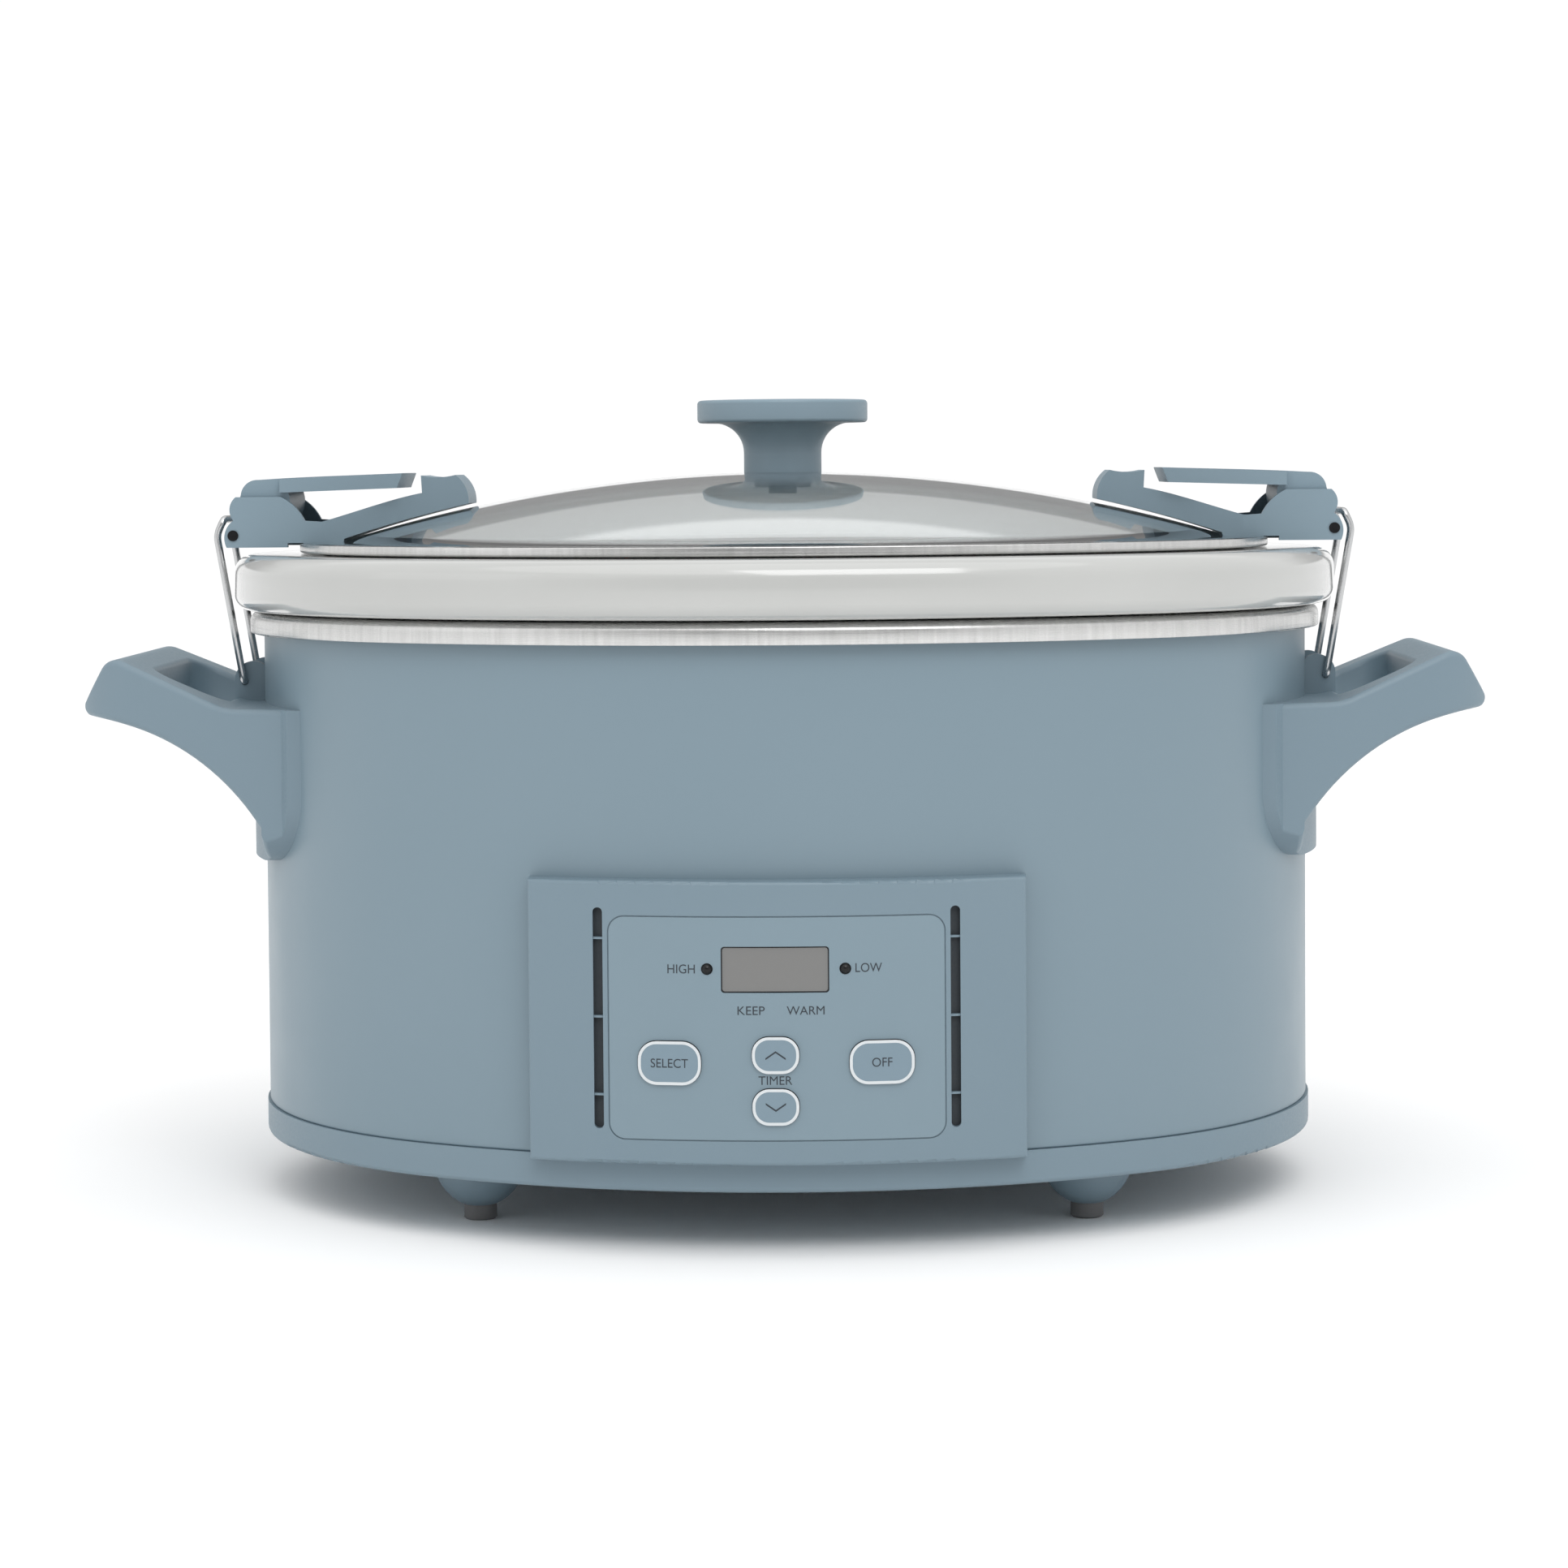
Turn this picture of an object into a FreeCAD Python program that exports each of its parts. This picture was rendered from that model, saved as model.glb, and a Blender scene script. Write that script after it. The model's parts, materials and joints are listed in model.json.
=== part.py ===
"""An oval, programmable cook-and-carry slow cooker, one STEP file for each piece.

Millimetres. +X is to the user's right, +Y is away from the user, +Z is up, and the
origin is on the table, under the middle of the oval. The left-hand handle, bail and
latch are drawn, and the right-hand ones are their mirror images.
"""
import FreeCAD, Part
import math
import os

from FreeCAD import Vector

# Plan oval: four tangent arcs, which each wall follows at its own offset.
BODY_HALF_X = 165.7
BODY_HALF_Y = 128.3
END_R = 115.0

# Heights above the table.
FOOT_TOP = 4.7
PAN_BOTTOM = 18.2
BAND_TOP = 28.2
SHELL_TOP = 181.0
COLLAR_BOTTOM = 176.3
COLLAR_TOP = 183.0
RIM_BOTTOM = 183.5
RIM_TOP = 201.0
FLANGE_TOP = 204.4
DOME_TOP = 225.8
KNOB_TOP = 248.5

# Offsets of the walls from the body oval, outward.
BAND_PROUD = 0.8
SHELL_WALL = 1.2
COLLAR_PROUD = 4.3
COLLAR_INNER = -6.2
COLLAR_ROLL = 3.0
COLLAR_SHEET = 1.0
RIM_PROUD = 9.2
CROCK_OUTER = -10.5
CROCK_INNER = -18.5
WELL_OUTER = -6.2
WELL_WALL = 1.2
LID_EDGE = -11.5
BEZEL_PROUD = 7.2
BUTTON_PROUD = 8.0

# Pan, feet and the pieces underneath.
PAN_FLOOR = 2.5
PAN_WALL = 3.2
FOOT_X = 92.0
FOOT_Y = 72.0
FOOT_R = 5.0
BOSS_R = 14.0
FOOT_SCREW_R = 1.4
FOOT_SCREW_SEAT = 2.2

# Crock, well and heater.
CROCK_BOTTOM = 49.0
CROCK_FLOOR = 9.0
CROCK_FOOT_FILLET = 16.0
CROCK_FLOOR_FILLET = 18.0
CROCK_MOUTH_FILLET = 3.0
RIM_FILLET_TOP = 6.0
RIM_FILLET_BOTTOM = 4.8
WELL_BOTTOM = 36.0
HEATER_WALL = 1.8
HEATER_Z = (48.0, 92.0)

# Parts between the pan and the well.
POWER_BOARD = (64.0, 0.0, 92.0, 58.0)
POWER_BOARD_Z = 24.0
POWER_BOARD_THICK = 1.6
POWER_POSTS = [(64.0 + 41.0 * i, 24.0 * j) for i in (-1, 1) for j in (-1, 1)]
SENSOR_X = -34.0
FUSE_Y = 40.0
LEAD_R = 1.1
GLAND_Z = 44.0
GLAND_R = 6.0
CORD_BORE_R = 3.6

# Lid.
GLASS_FLANGE = 2.5
DOME_FOOT_X = 141.5
DOME_FOOT_Y = 104.1
DOME_WALL_FOOT = 4.0
DOME_WALL_TOP = 3.5
KNOB_R = 27.2
KNOB_DISC = 7.2
KNOB_STEM_R = 12.4
KNOB_FILLET = 9.5

# Control panel.
BEZEL_HALF = 72.0
BEZEL_Z = (27.3, 109.0)
BEZEL_WALL = 2.0
OVERLAY_HALF = 48.2
OVERLAY_Z = (34.8, 98.8)
OVERLAY_THICK = 0.4
OVERLAY_LINE = 0.4
SLOT_X = 51.4
SLOT_WIDTH = 2.8
SLOT_Z = (37.4, 101.3)
SLOT_BARS = (92.4, 69.7, 47.2)
SLOT_BAR = 0.6
SLOT_BAR_DEPTH = 0.5
WINDOW = (-0.3, 83.8, 31.0, 13.3)
LED_X = 19.8
LED_Z = 84.0
LED_R = 1.6
BOARD_FRONT = -125.8
BOARD_THICK = 1.6
BOARD_SCREWS = [(43.0 * i, z) for i in (-1, 1) for z in (40.5, 94.5)]
BEZEL_SCREWS = [(65.0 * i, z) for i in (-1, 1) for z in (36.0, 101.0)]
BUTTON_GAP = 0.35
BUTTONS = {
    "select_button": (-30.8, 56.9, 17.8, 12.2, 5.2),
    "off_button": (30.2, 57.0, 18.2, 12.2, 5.2),
    "up_button": (-0.3, 59.3, 13.1, 10.2, 4.6),
    "down_button": (-0.3, 44.4, 13.0, 10.1, 4.6),
}
BUTTON_FLANGE_FRONT = -129.4
BUTTON_FLANGE = 0.5
SWITCH_TOP = -128.0

# Handle, drawn on the left.
HANDLE_TOP_ROOT = 154.2
HANDLE_BOTTOM = 106.4
HANDLE_FLANGE_HALF = 64.0
HANDLE_FLANGE = 3.5
HANDLE_FLANGE_CORNER = 21.0
HANDLE_CREST = (-208.6, 170.6)
HANDLE_TIP_X = -220.6
HANDLE_TIP_Z = 151.4
HANDLE_TIP_HALF = 42.0
HANDLE_TIP_CORNER = 27.0
HANDLE_EDGE_R = 2.0
HANDLE_SCREWS = [(-44.0, 132.0), (44.0, 132.0)]
GRIP_HOLE = (-186.0, 22.0, 72.0, 8.0)
EAR_Y = (9.6, 13.4)
EAR_X = (-174.6, -163.0)
EAR_TOP = 166.8

# Bail, a bent wire that hangs in the ears.
BAIL_R = 1.15
BAIL_FIT = 0.05
BAIL_PIVOT = (-171.5, 160.4)
BAIL_SHOULDER = (-179.5, 207.0)
BAIL_CROSSBAR = (-177.2, 212.0)
BAIL_LEG_Y = 15.0

# Latch on the lid.
CHEEK_Y = (16.8, 18.8)
CHEEK_BOTTOM = 203.0
CHEEK_TOP = 219.0
LEVER_PIVOT = (-164.3, 214.5)
LEVER_PIN_R = 1.5
LEVER_PIN_HALF = 18.0
LEVER_FIT = 0.05
LEVER_HALF = 16.3
RIVET = (-173.7, 206.8)
RIVET_R = 1.7
LATCH_SCREW_X = -141.5
LATCH_SCREW_Y = 8.0

Z_AXIS = Vector(0, 0, 1)
X_AXIS = Vector(1, 0, 0)
ORIGIN = Vector(0, 0, 0)


def oval_centres():
    """The end arcs' centre on X, the long arcs' centre on Y, and the long arcs' radius."""
    end_x = BODY_HALF_X - END_R
    long_r = (end_x ** 2 + BODY_HALF_Y ** 2 - END_R ** 2) / (2.0 * (BODY_HALF_Y - END_R))
    return end_x, long_r - BODY_HALF_Y, long_r


def oval_wire(offset, z):
    """The body oval, moved outward by offset, as one closed wire at height z."""
    end_x, long_y, long_r = oval_centres()
    turn = math.atan2(long_y, end_x)
    near = END_R + offset
    far = long_r + offset
    jx = end_x + near * math.cos(turn)
    jy = near * math.sin(turn)
    return Part.Wire([
        Part.Arc(Vector(jx, -jy, z), Vector(end_x + near, 0, z), Vector(jx, jy, z)).toShape(),
        Part.Arc(Vector(jx, jy, z), Vector(0, far - long_y, z), Vector(-jx, jy, z)).toShape(),
        Part.Arc(Vector(-jx, jy, z), Vector(-end_x - near, 0, z), Vector(-jx, -jy, z)).toShape(),
        Part.Arc(Vector(-jx, -jy, z), Vector(0, long_y - far, z), Vector(jx, -jy, z)).toShape(),
    ])


def oval_solid(offset, z0, z1):
    return Part.Face(oval_wire(offset, z0)).extrude(Vector(0, 0, z1 - z0))


def oval_ring(outer, inner, z0, z1):
    return oval_solid(outer, z0, z1).cut(oval_solid(inner, z0, z1))


def oval_y(offset, x):
    """How far in front of the X axis the oval at this offset is, at x."""
    end_x, long_y, long_r = oval_centres()
    x = abs(x)
    if x > end_x + (END_R + offset) * math.cos(math.atan2(long_y, end_x)):
        return math.sqrt((END_R + offset) ** 2 - (x - end_x) ** 2)
    return math.sqrt((long_r + offset) ** 2 - x ** 2) - long_y


def oval_x(offset, y):
    """How far to the side the oval at this offset is, near Y = 0."""
    return oval_centres()[0] + math.sqrt((END_R + offset) ** 2 - y ** 2)


def box(x0, x1, y0, y1, z0, z1):
    return Part.makeBox(x1 - x0, y1 - y0, z1 - z0, Vector(x0, y0, z0))


def rod(start, end, radius):
    run = end.sub(start)
    return Part.makeCylinder(radius, run.Length, start, run)


def level_edges(solid, z, offset=None):
    """Edges that lie flat at height z, and only those on the oval at offset if it is given."""
    found = []
    for edge in solid.Edges:
        bounds = edge.BoundBox
        if abs(bounds.ZMin - z) > 1e-3 or abs(bounds.ZMax - z) > 1e-3:
            continue
        start = edge.Vertexes[0].Point
        if offset is not None and abs(abs(start.y) - oval_y(offset, start.x)) > 0.2:
            continue
        found.append(edge)
    return found


def plate_xz(cx, cz, width, height, radius, y0, y1):
    """A rounded rectangle, seen from the front, between y0 and y1."""
    return plate(cx, cz, width, height, radius, lambda u, w: Vector(u, y0, w), Vector(0, y1 - y0, 0))


def plate_xy(cx, cy, width, depth, radius, z0, z1):
    """A rounded rectangle, seen from above, between z0 and z1."""
    return plate(cx, cy, width, depth, radius, lambda u, w: Vector(u, w, z0), Vector(0, 0, z1 - z0))


def plate(cu, cw, width, height, radius, place, run):
    u0 = cu - width / 2
    u1 = cu + width / 2
    w0 = cw - height / 2
    w1 = cw + height / 2
    d = radius * (1.0 - math.sqrt(0.5))
    edges = [
        Part.LineSegment(place(u0 + radius, w0), place(u1 - radius, w0)),
        Part.Arc(place(u1 - radius, w0), place(u1 - d, w0 + d), place(u1, w0 + radius)),
        Part.LineSegment(place(u1, w0 + radius), place(u1, w1 - radius)),
        Part.Arc(place(u1, w1 - radius), place(u1 - d, w1 - d), place(u1 - radius, w1)),
        Part.LineSegment(place(u1 - radius, w1), place(u0 + radius, w1)),
        Part.Arc(place(u0 + radius, w1), place(u0 + d, w1 - d), place(u0, w1 - radius)),
        Part.LineSegment(place(u0, w1 - radius), place(u0, w0 + radius)),
        Part.Arc(place(u0, w0 + radius), place(u0 + d, w0 + d), place(u0 + radius, w0)),
    ]
    return Part.Face(Part.Wire([edge.toShape() for edge in edges])).extrude(run)


def revolved(points):
    """A straight-sided (radius, z) outline turned about the vertical axis."""
    corners = [Vector(r, 0, z) for r, z in points]
    return Part.Face(Part.makePolygon(corners + corners[:1])).revolve(ORIGIN, Z_AXIS, 360)


def bar(x0, z0, x1, z1):
    """A straight edge of an outline in the XZ plane."""
    return Part.LineSegment(Vector(x0, 0, z0), Vector(x1, 0, z1)).toShape()


def bow(x0, z0, xm, zm, x1, z1):
    """An arc of an outline in the XZ plane, through its middle point."""
    return Part.Arc(Vector(x0, 0, z0), Vector(xm, 0, zm), Vector(x1, 0, z1)).toShape()


def flow(points):
    """A smooth edge of an outline in the XZ plane, through these points."""
    curve = Part.BSplineCurve()
    curve.interpolate([Vector(x, 0, z) for x, z in points])
    return curve.toShape()


def slab(edges, half):
    """The outline made by these edges, half this thick on each side of Y = 0."""
    solid = Part.Face(Part.Wire(edges)).extrude(Vector(0, 2 * half, 0))
    return solid.translated(Vector(0, -half, 0))


def screw(head_at, direction, shaft_r, length, head_r, head):
    """A pan-head screw: the head stands back from head_at, the shaft runs along direction."""
    way = Vector(direction).normalize()
    shaft = Part.makeCylinder(shaft_r, length, head_at, way)
    cap = Part.makeCylinder(head_r, head, head_at.sub(way * head), way)
    return cap.fuse(shaft)


def wire_rod(points, radius):
    """A bent rod: straight runs with a ball at each bend."""
    solid = rod(points[0], points[1], radius)
    for start, end in zip(points[1:], points[2:]):
        solid = solid.fuse(Part.makeSphere(radius, start)).fuse(rod(start, end, radius))
    return solid.removeSplitter()


def mirrored(made):
    """The same solid or solids on the other side."""
    if isinstance(made, list):
        return [solid.mirror(ORIGIN, X_AXIS) for solid in made]
    return made.mirror(ORIGIN, X_AXIS)


def four_corners(x, y):
    return [(sx * x, sy * y) for sx in (-1, 1) for sy in (-1, 1)]


# ---------------------------------------------------------------- base: pan and feet

def base_pan():
    """Moulded bottom: floor, outside band, register for the shell, and four foot bosses."""
    pan = oval_solid(BAND_PROUD, PAN_BOTTOM, BAND_TOP)
    pan = pan.makeFillet(1.5, level_edges(pan, PAN_BOTTOM))
    pan = pan.fuse(oval_solid(-SHELL_WALL, BAND_TOP, BAND_TOP + 3.0))
    inside = BAND_PROUD - PAN_WALL
    pan = pan.cut(oval_solid(inside, PAN_BOTTOM + PAN_FLOOR, BAND_TOP + 3.0))
    neck = FOOT_R + 0.3
    root = PAN_BOTTOM + 0.5
    boss = Part.Face(Part.Wire([
        bar(0, FOOT_TOP, neck, FOOT_TOP),
        bow(neck, FOOT_TOP, 11.6, 10.2, BOSS_R, root),
        bar(BOSS_R, root, 0, root),
        bar(0, root, 0, FOOT_TOP),
    ])).revolve(ORIGIN, Z_AXIS, 360)
    for x, y in four_corners(FOOT_X, FOOT_Y):
        pan = pan.fuse(boss.translated(Vector(x, y, 0)))
    for x, y in four_corners(FOOT_X, FOOT_Y):
        pan = pan.cut(Part.makeCylinder(FOOT_SCREW_R, 12, Vector(x, y, FOOT_TOP)))
    for x, y in POWER_POSTS:
        pan = pan.fuse(Part.makeCylinder(3.0, POWER_BOARD_Z - 20.0, Vector(x, y, 20.0)))
    pan = pan.cut(Part.makeCylinder(2.7, 20, Vector(0, 0, 10)))
    return pan.cut(bezel_blank())


def feet():
    """Four turned rubber feet, each with a pocket for its screw."""
    solids = []
    for x, y in four_corners(FOOT_X, FOOT_Y):
        foot = revolved([
            (FOOT_SCREW_R, FOOT_SCREW_SEAT), (2.9, FOOT_SCREW_SEAT), (2.9, 0), (4.5, 0),
            (FOOT_R, 0.5), (FOOT_R, FOOT_TOP), (FOOT_SCREW_R, FOOT_TOP),
        ])
        solids.append(foot.translated(Vector(x, y, 0)))
    return solids


def foot_screws():
    solids = []
    for x, y in four_corners(FOOT_X, FOOT_Y):
        solids.append(screw(Vector(x, y, FOOT_SCREW_SEAT), Z_AXIS, FOOT_SCREW_R, 11.0, 2.6, 1.5))
    return solids


# ---------------------------------------------------------------- base: shell, collar, well

def outer_shell():
    """Painted wrap with the control opening, the cord hole and the screw holes."""
    shell = oval_ring(0, -SHELL_WALL, BAND_TOP, SHELL_TOP)
    shell = shell.cut(plate_xz(0, 67, 112, 66, 4, -140, -100))
    shell = shell.cut(rod(Vector(0, 110, GLAND_Z), Vector(0, 140, GLAND_Z), GLAND_R))
    for x, z in BEZEL_SCREWS:
        shell = shell.cut(rod(Vector(x, -140, z), Vector(x, -100, z), 1.3))
    for y, z in HANDLE_SCREWS:
        shell = shell.cut(rod(Vector(-180, y, z), Vector(-130, y, z), 1.6))
        shell = shell.cut(rod(Vector(130, y, z), Vector(180, y, z), 1.6))
    return shell


def top_collar():
    """Rolled trim ring, open underneath, that caps the shell and the well's flange."""
    collar = oval_solid(COLLAR_PROUD, COLLAR_BOTTOM, COLLAR_TOP)
    collar = collar.makeFillet(COLLAR_ROLL, level_edges(collar, COLLAR_TOP))
    collar = collar.cut(oval_solid(COLLAR_INNER, COLLAR_BOTTOM, COLLAR_TOP))
    under = COLLAR_TOP - COLLAR_SHEET
    channel = oval_solid(COLLAR_PROUD - COLLAR_SHEET, COLLAR_BOTTOM, under)
    channel = channel.makeFillet(COLLAR_ROLL - COLLAR_SHEET, level_edges(channel, under))
    return collar.cut(channel)


def heating_well():
    """Spun aluminium liner: cup, and a flange that hangs on top of the shell."""
    cup = oval_solid(WELL_OUTER, WELL_BOTTOM, COLLAR_TOP - 1.0)
    cup = cup.makeFillet(10.0, level_edges(cup, WELL_BOTTOM))
    flange = oval_solid(0, SHELL_TOP, COLLAR_TOP - 1.0)
    hollow = oval_solid(WELL_OUTER - WELL_WALL, WELL_BOTTOM + 1.5, COLLAR_TOP)
    hollow = hollow.makeFillet(8.8, level_edges(hollow, WELL_BOTTOM + 1.5))
    return cup.fuse(flange).cut(hollow)


def heater_band():
    """Flat wrap-around heater, split at the back."""
    band = oval_ring(WELL_OUTER + HEATER_WALL, WELL_OUTER, *HEATER_Z)
    return band.cut(box(-4, 4, 0, 140, *HEATER_Z))


def heater_clip():
    """Spring clip that closes the heater's split."""
    outer = WELL_OUTER + HEATER_WALL + 1.0
    ring = oval_ring(outer, WELL_OUTER + HEATER_WALL, 60, 80)
    return ring.common(box(-14, 14, 100, 140, 60, 80))


# ---------------------------------------------------------------- base: parts underneath the well

def centre_bolt():
    """Bolt that draws the pan up to the well."""
    return screw(Vector(0, 0, PAN_BOTTOM), Z_AXIS, 2.5, WELL_BOTTOM - PAN_BOTTOM - 0.4, 5.5, 2.6)


def centre_nut():
    """Nut fixed under the middle of the well."""
    nut = Part.Face(Part.makePolygon([
        Vector(5.2 * math.cos(math.radians(60 * i)), 5.2 * math.sin(math.radians(60 * i)), 31)
        for i in range(7)
    ])).extrude(Vector(0, 0, WELL_BOTTOM - 31))
    return nut.cut(Part.makeCylinder(2.5, 10, Vector(0, 0, 30)))


def temperature_sensor():
    """Sprung thermistor button under the well."""
    cap_z = WELL_BOTTOM - 4.0
    floor = PAN_BOTTOM + PAN_FLOOR
    cap = Part.makeCylinder(6.0, 4.0, Vector(SENSOR_X, 0, cap_z))
    stem = Part.makeCylinder(3.0, cap_z - floor, Vector(SENSOR_X, 0, floor))
    return cap.fuse(stem)


def thermal_fuse():
    """Axial fuse in a saddle under the well."""
    barrel = rod(Vector(-44, FUSE_Y, 32.2), Vector(-26, FUSE_Y, 32.2), 2.2)
    saddle = box(-40, -30, FUSE_Y - 3.4, FUSE_Y + 3.4, 32.2, WELL_BOTTOM)
    return barrel.fuse(saddle)


def power_board():
    x, y, width, depth = POWER_BOARD
    board = plate_xy(x, y, width, depth, 2.0, POWER_BOARD_Z, POWER_BOARD_Z + POWER_BOARD_THICK)
    for px, py in POWER_POSTS:
        board = board.cut(Part.makeCylinder(1.3, 4, Vector(px, py, POWER_BOARD_Z - 1)))
    return board


def power_board_parts():
    """Relay, transformer, capacitor and connector on the power board."""
    z = POWER_BOARD_Z + POWER_BOARD_THICK
    return [
        box(34, 53, -8, 8, z, z + 8.6),
        box(64, 88, -12, 10, z, z + 8.2),
        rod(Vector(92, 14, z + 4), Vector(104, 14, z + 4), 4.0),
        box(40, 56, -26, -19, z, z + 6.0),
    ]


def power_board_screws():
    solids = []
    z = POWER_BOARD_Z + POWER_BOARD_THICK
    for x, y in POWER_POSTS:
        solids.append(screw(Vector(x, y, z), Vector(0, 0, -1), 1.3, POWER_BOARD_THICK, 2.5, 1.4))
    return solids


def terminal_block():
    floor = PAN_BOTTOM + PAN_FLOOR
    return box(-24, 8, 76, 90, floor, floor + 10)


def supply_leads():
    """Two insulated leads from the terminals to the power board."""
    solids = []
    for x, y in ((-14, -17), (0, -22)):
        solids.append(wire_rod([
            Vector(x, 76, 26.4),
            Vector(x + 4, 52, 26.6),
            Vector(16 + x / 4, -y + 6, 29),
            Vector(31, -y, 29),
            Vector(31, -y, POWER_BOARD_Z + POWER_BOARD_THICK),
        ], LEAD_R))
    return solids


def cord_gland():
    """Bush in the back of the shell for the mains cord."""
    back = oval_y(0, 0)
    inner = back - SHELL_WALL
    gland = rod(Vector(0, inner - 2.2, GLAND_Z), Vector(0, back + 5.0, GLAND_Z), GLAND_R)
    flange = rod(Vector(0, back, GLAND_Z), Vector(0, back + 2.4, GLAND_Z), GLAND_R + 3.0)
    lock = rod(Vector(0, inner - 2.2, GLAND_Z), Vector(0, inner, GLAND_Z), GLAND_R + 2.0)
    gland = gland.fuse(flange).fuse(lock)
    gland = gland.cut(oval_ring(0, -SHELL_WALL, GLAND_Z - 12, GLAND_Z + 12).cut(
        rod(Vector(0, 110, GLAND_Z), Vector(0, 140, GLAND_Z), GLAND_R)))
    return gland.cut(rod(Vector(0, 110, GLAND_Z), Vector(0, 140, GLAND_Z), CORD_BORE_R))


# ---------------------------------------------------------------- base: control panel

def panel_solid(offset, x0, x1, z0, z1, back=-90.0):
    """The part of an oval block that is in front of Y = back and between these limits."""
    return oval_solid(offset, z0, z1).common(box(x0, x1, -200, back, z0, z1))


def bezel_blank():
    return panel_solid(BEZEL_PROUD, -BEZEL_HALF, BEZEL_HALF, *BEZEL_Z)


def button_hole(name, gap):
    cx, cz, width, height, radius = BUTTONS[name]
    return plate_xz(cx, cz, width + 2 * gap, height + 2 * gap, radius + gap, -140, -120)


def panel_openings(part):
    """Holes that the bezel and the overlay share."""
    for name in BUTTONS:
        part = part.cut(button_hole(name, BUTTON_GAP))
    cx, cz, width, height = WINDOW
    part = part.cut(plate_xz(cx, cz, width, height, 1.0, -140, -120))
    for x in (-LED_X, LED_X):
        part = part.cut(rod(Vector(x, -140, LED_Z), Vector(x, -120, LED_Z), LED_R + 0.1))
    return part


def control_bezel():
    """Curved panel moulding: front wall, side walls, vent slots, and posts for the screws."""
    bezel = bezel_blank()
    front = [e for e in bezel.Edges if e.BoundBox.YMax < -oval_y(BEZEL_PROUD, BEZEL_HALF) + 0.2]
    bezel = bezel.makeFillet(1.2, front)
    wall = BEZEL_WALL
    z0, z1 = BEZEL_Z
    hollow = panel_solid(BEZEL_PROUD - wall, -BEZEL_HALF + wall, BEZEL_HALF - wall, z0 + wall, z1 - wall)
    bezel = bezel.cut(hollow)
    posts = [(x, z, 3.4) for x, z in BEZEL_SCREWS] + [(x, z, 2.8) for x, z in BOARD_SCREWS]
    for x, z, radius in posts:
        post = rod(Vector(x, BOARD_FRONT, z), Vector(x, -138, z), radius)
        if abs(x) > 60:
            post = rod(Vector(x, -110, z), Vector(x, -138, z), radius)
        bezel = bezel.fuse(post.common(oval_solid(BEZEL_PROUD - 1.0, z0, z1)))
    bezel = bezel.cut(oval_solid(0, z0 - 1, z1 + 1).cut(panel_solid(0, -54, 54, z0 + 10, z1 - 10)))
    for x, z in BOARD_SCREWS:
        bezel = bezel.cut(rod(Vector(x, -100, z), Vector(x, BOARD_FRONT - 2.6, z), 1.1))
    for x, z in BEZEL_SCREWS:
        bezel = bezel.cut(rod(Vector(x, -100, z), Vector(x, -oval_y(0, x) - 5.2, z), 1.3))
    bezel = panel_openings(bezel)
    low, high = SLOT_Z
    for side in (-1, 1):
        x = side * SLOT_X
        bezel = bezel.cut(plate_xz(x, (low + high) / 2, SLOT_WIDTH, high - low, 1.35, -140, -120))
        for z in SLOT_BARS:
            span = box(x - SLOT_WIDTH / 2, x + SLOT_WIDTH / 2, -140, -120, z - SLOT_BAR / 2, z + SLOT_BAR / 2)
            skin = oval_ring(BEZEL_PROUD - SLOT_BAR_DEPTH, BEZEL_PROUD - BEZEL_WALL, z - 1, z + 1)
            bezel = bezel.fuse(span.common(skin))
    recess = overlay_blank(OVERLAY_LINE).cut(oval_solid(BEZEL_PROUD - OVERLAY_THICK, 20, 120))
    return bezel.cut(recess)


def overlay_blank(gap):
    z0, z1 = OVERLAY_Z
    return plate_xz(0, (z0 + z1) / 2, 2 * (OVERLAY_HALF + gap), z1 - z0 + 2 * gap, 4.5 + gap, -140, -120)


def panel_overlay():
    """Printed label film in the bezel's recess."""
    z0, z1 = OVERLAY_Z
    film = overlay_blank(0).common(oval_ring(BEZEL_PROUD, BEZEL_PROUD - OVERLAY_THICK, z0 - 1, z1 + 1))
    return panel_openings(film)


def display_window():
    """Clear pane over the display, a little below the face of the panel."""
    cx, cz, width, height = WINDOW
    pane = plate_xz(cx, cz, width - 0.1, height - 0.1, 0.95, -140, -132.6)
    return pane.common(oval_solid(BEZEL_PROUD - 0.6, 60, 110))


def display_module():
    cx, cz, width, height = WINDOW
    return plate_xz(cx, cz, width - 1.0, height + 2.0, 1.0, -132.6, BOARD_FRONT)


def led_lenses():
    solids = []
    for side in (-1, 1):
        face = -oval_y(BEZEL_PROUD, LED_X)
        lens = rod(Vector(side * LED_X, BOARD_FRONT, LED_Z), Vector(side * LED_X, face, LED_Z), LED_R)
        solids.append(lens.fuse(Part.makeSphere(LED_R, Vector(side * LED_X, face + 0.6, LED_Z))))
    return solids


def vent_screens():
    """Dark mesh strips behind the two rows of slots."""
    z0, z1 = SLOT_Z
    solids = []
    for side in (-1, 1):
        strip = oval_ring(BEZEL_PROUD - BEZEL_WALL, BEZEL_PROUD - BEZEL_WALL - 0.6, z0 - 2, z1 + 2)
        x0, x1 = sorted((side * (SLOT_X - 2.6), side * (SLOT_X + 3.0)))
        solids.append(strip.common(box(x0, x1, -200, -100, z0 - 2, z1 + 2)))
    return solids


def control_board():
    board = plate_xz(0, 67.5, 94, 62, 2.0, BOARD_FRONT, BOARD_FRONT + BOARD_THICK)
    for x, z in BOARD_SCREWS:
        board = board.cut(rod(Vector(x, BOARD_FRONT - 1, z), Vector(x, BOARD_FRONT + 3, z), 1.2))
    return board


def board_screws():
    solids = []
    for x, z in BOARD_SCREWS:
        back = Vector(x, BOARD_FRONT + BOARD_THICK, z)
        solids.append(screw(back, Vector(0, -1, 0), 1.1, BOARD_THICK + 2.5, 2.2, 1.4))
    return solids


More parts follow.
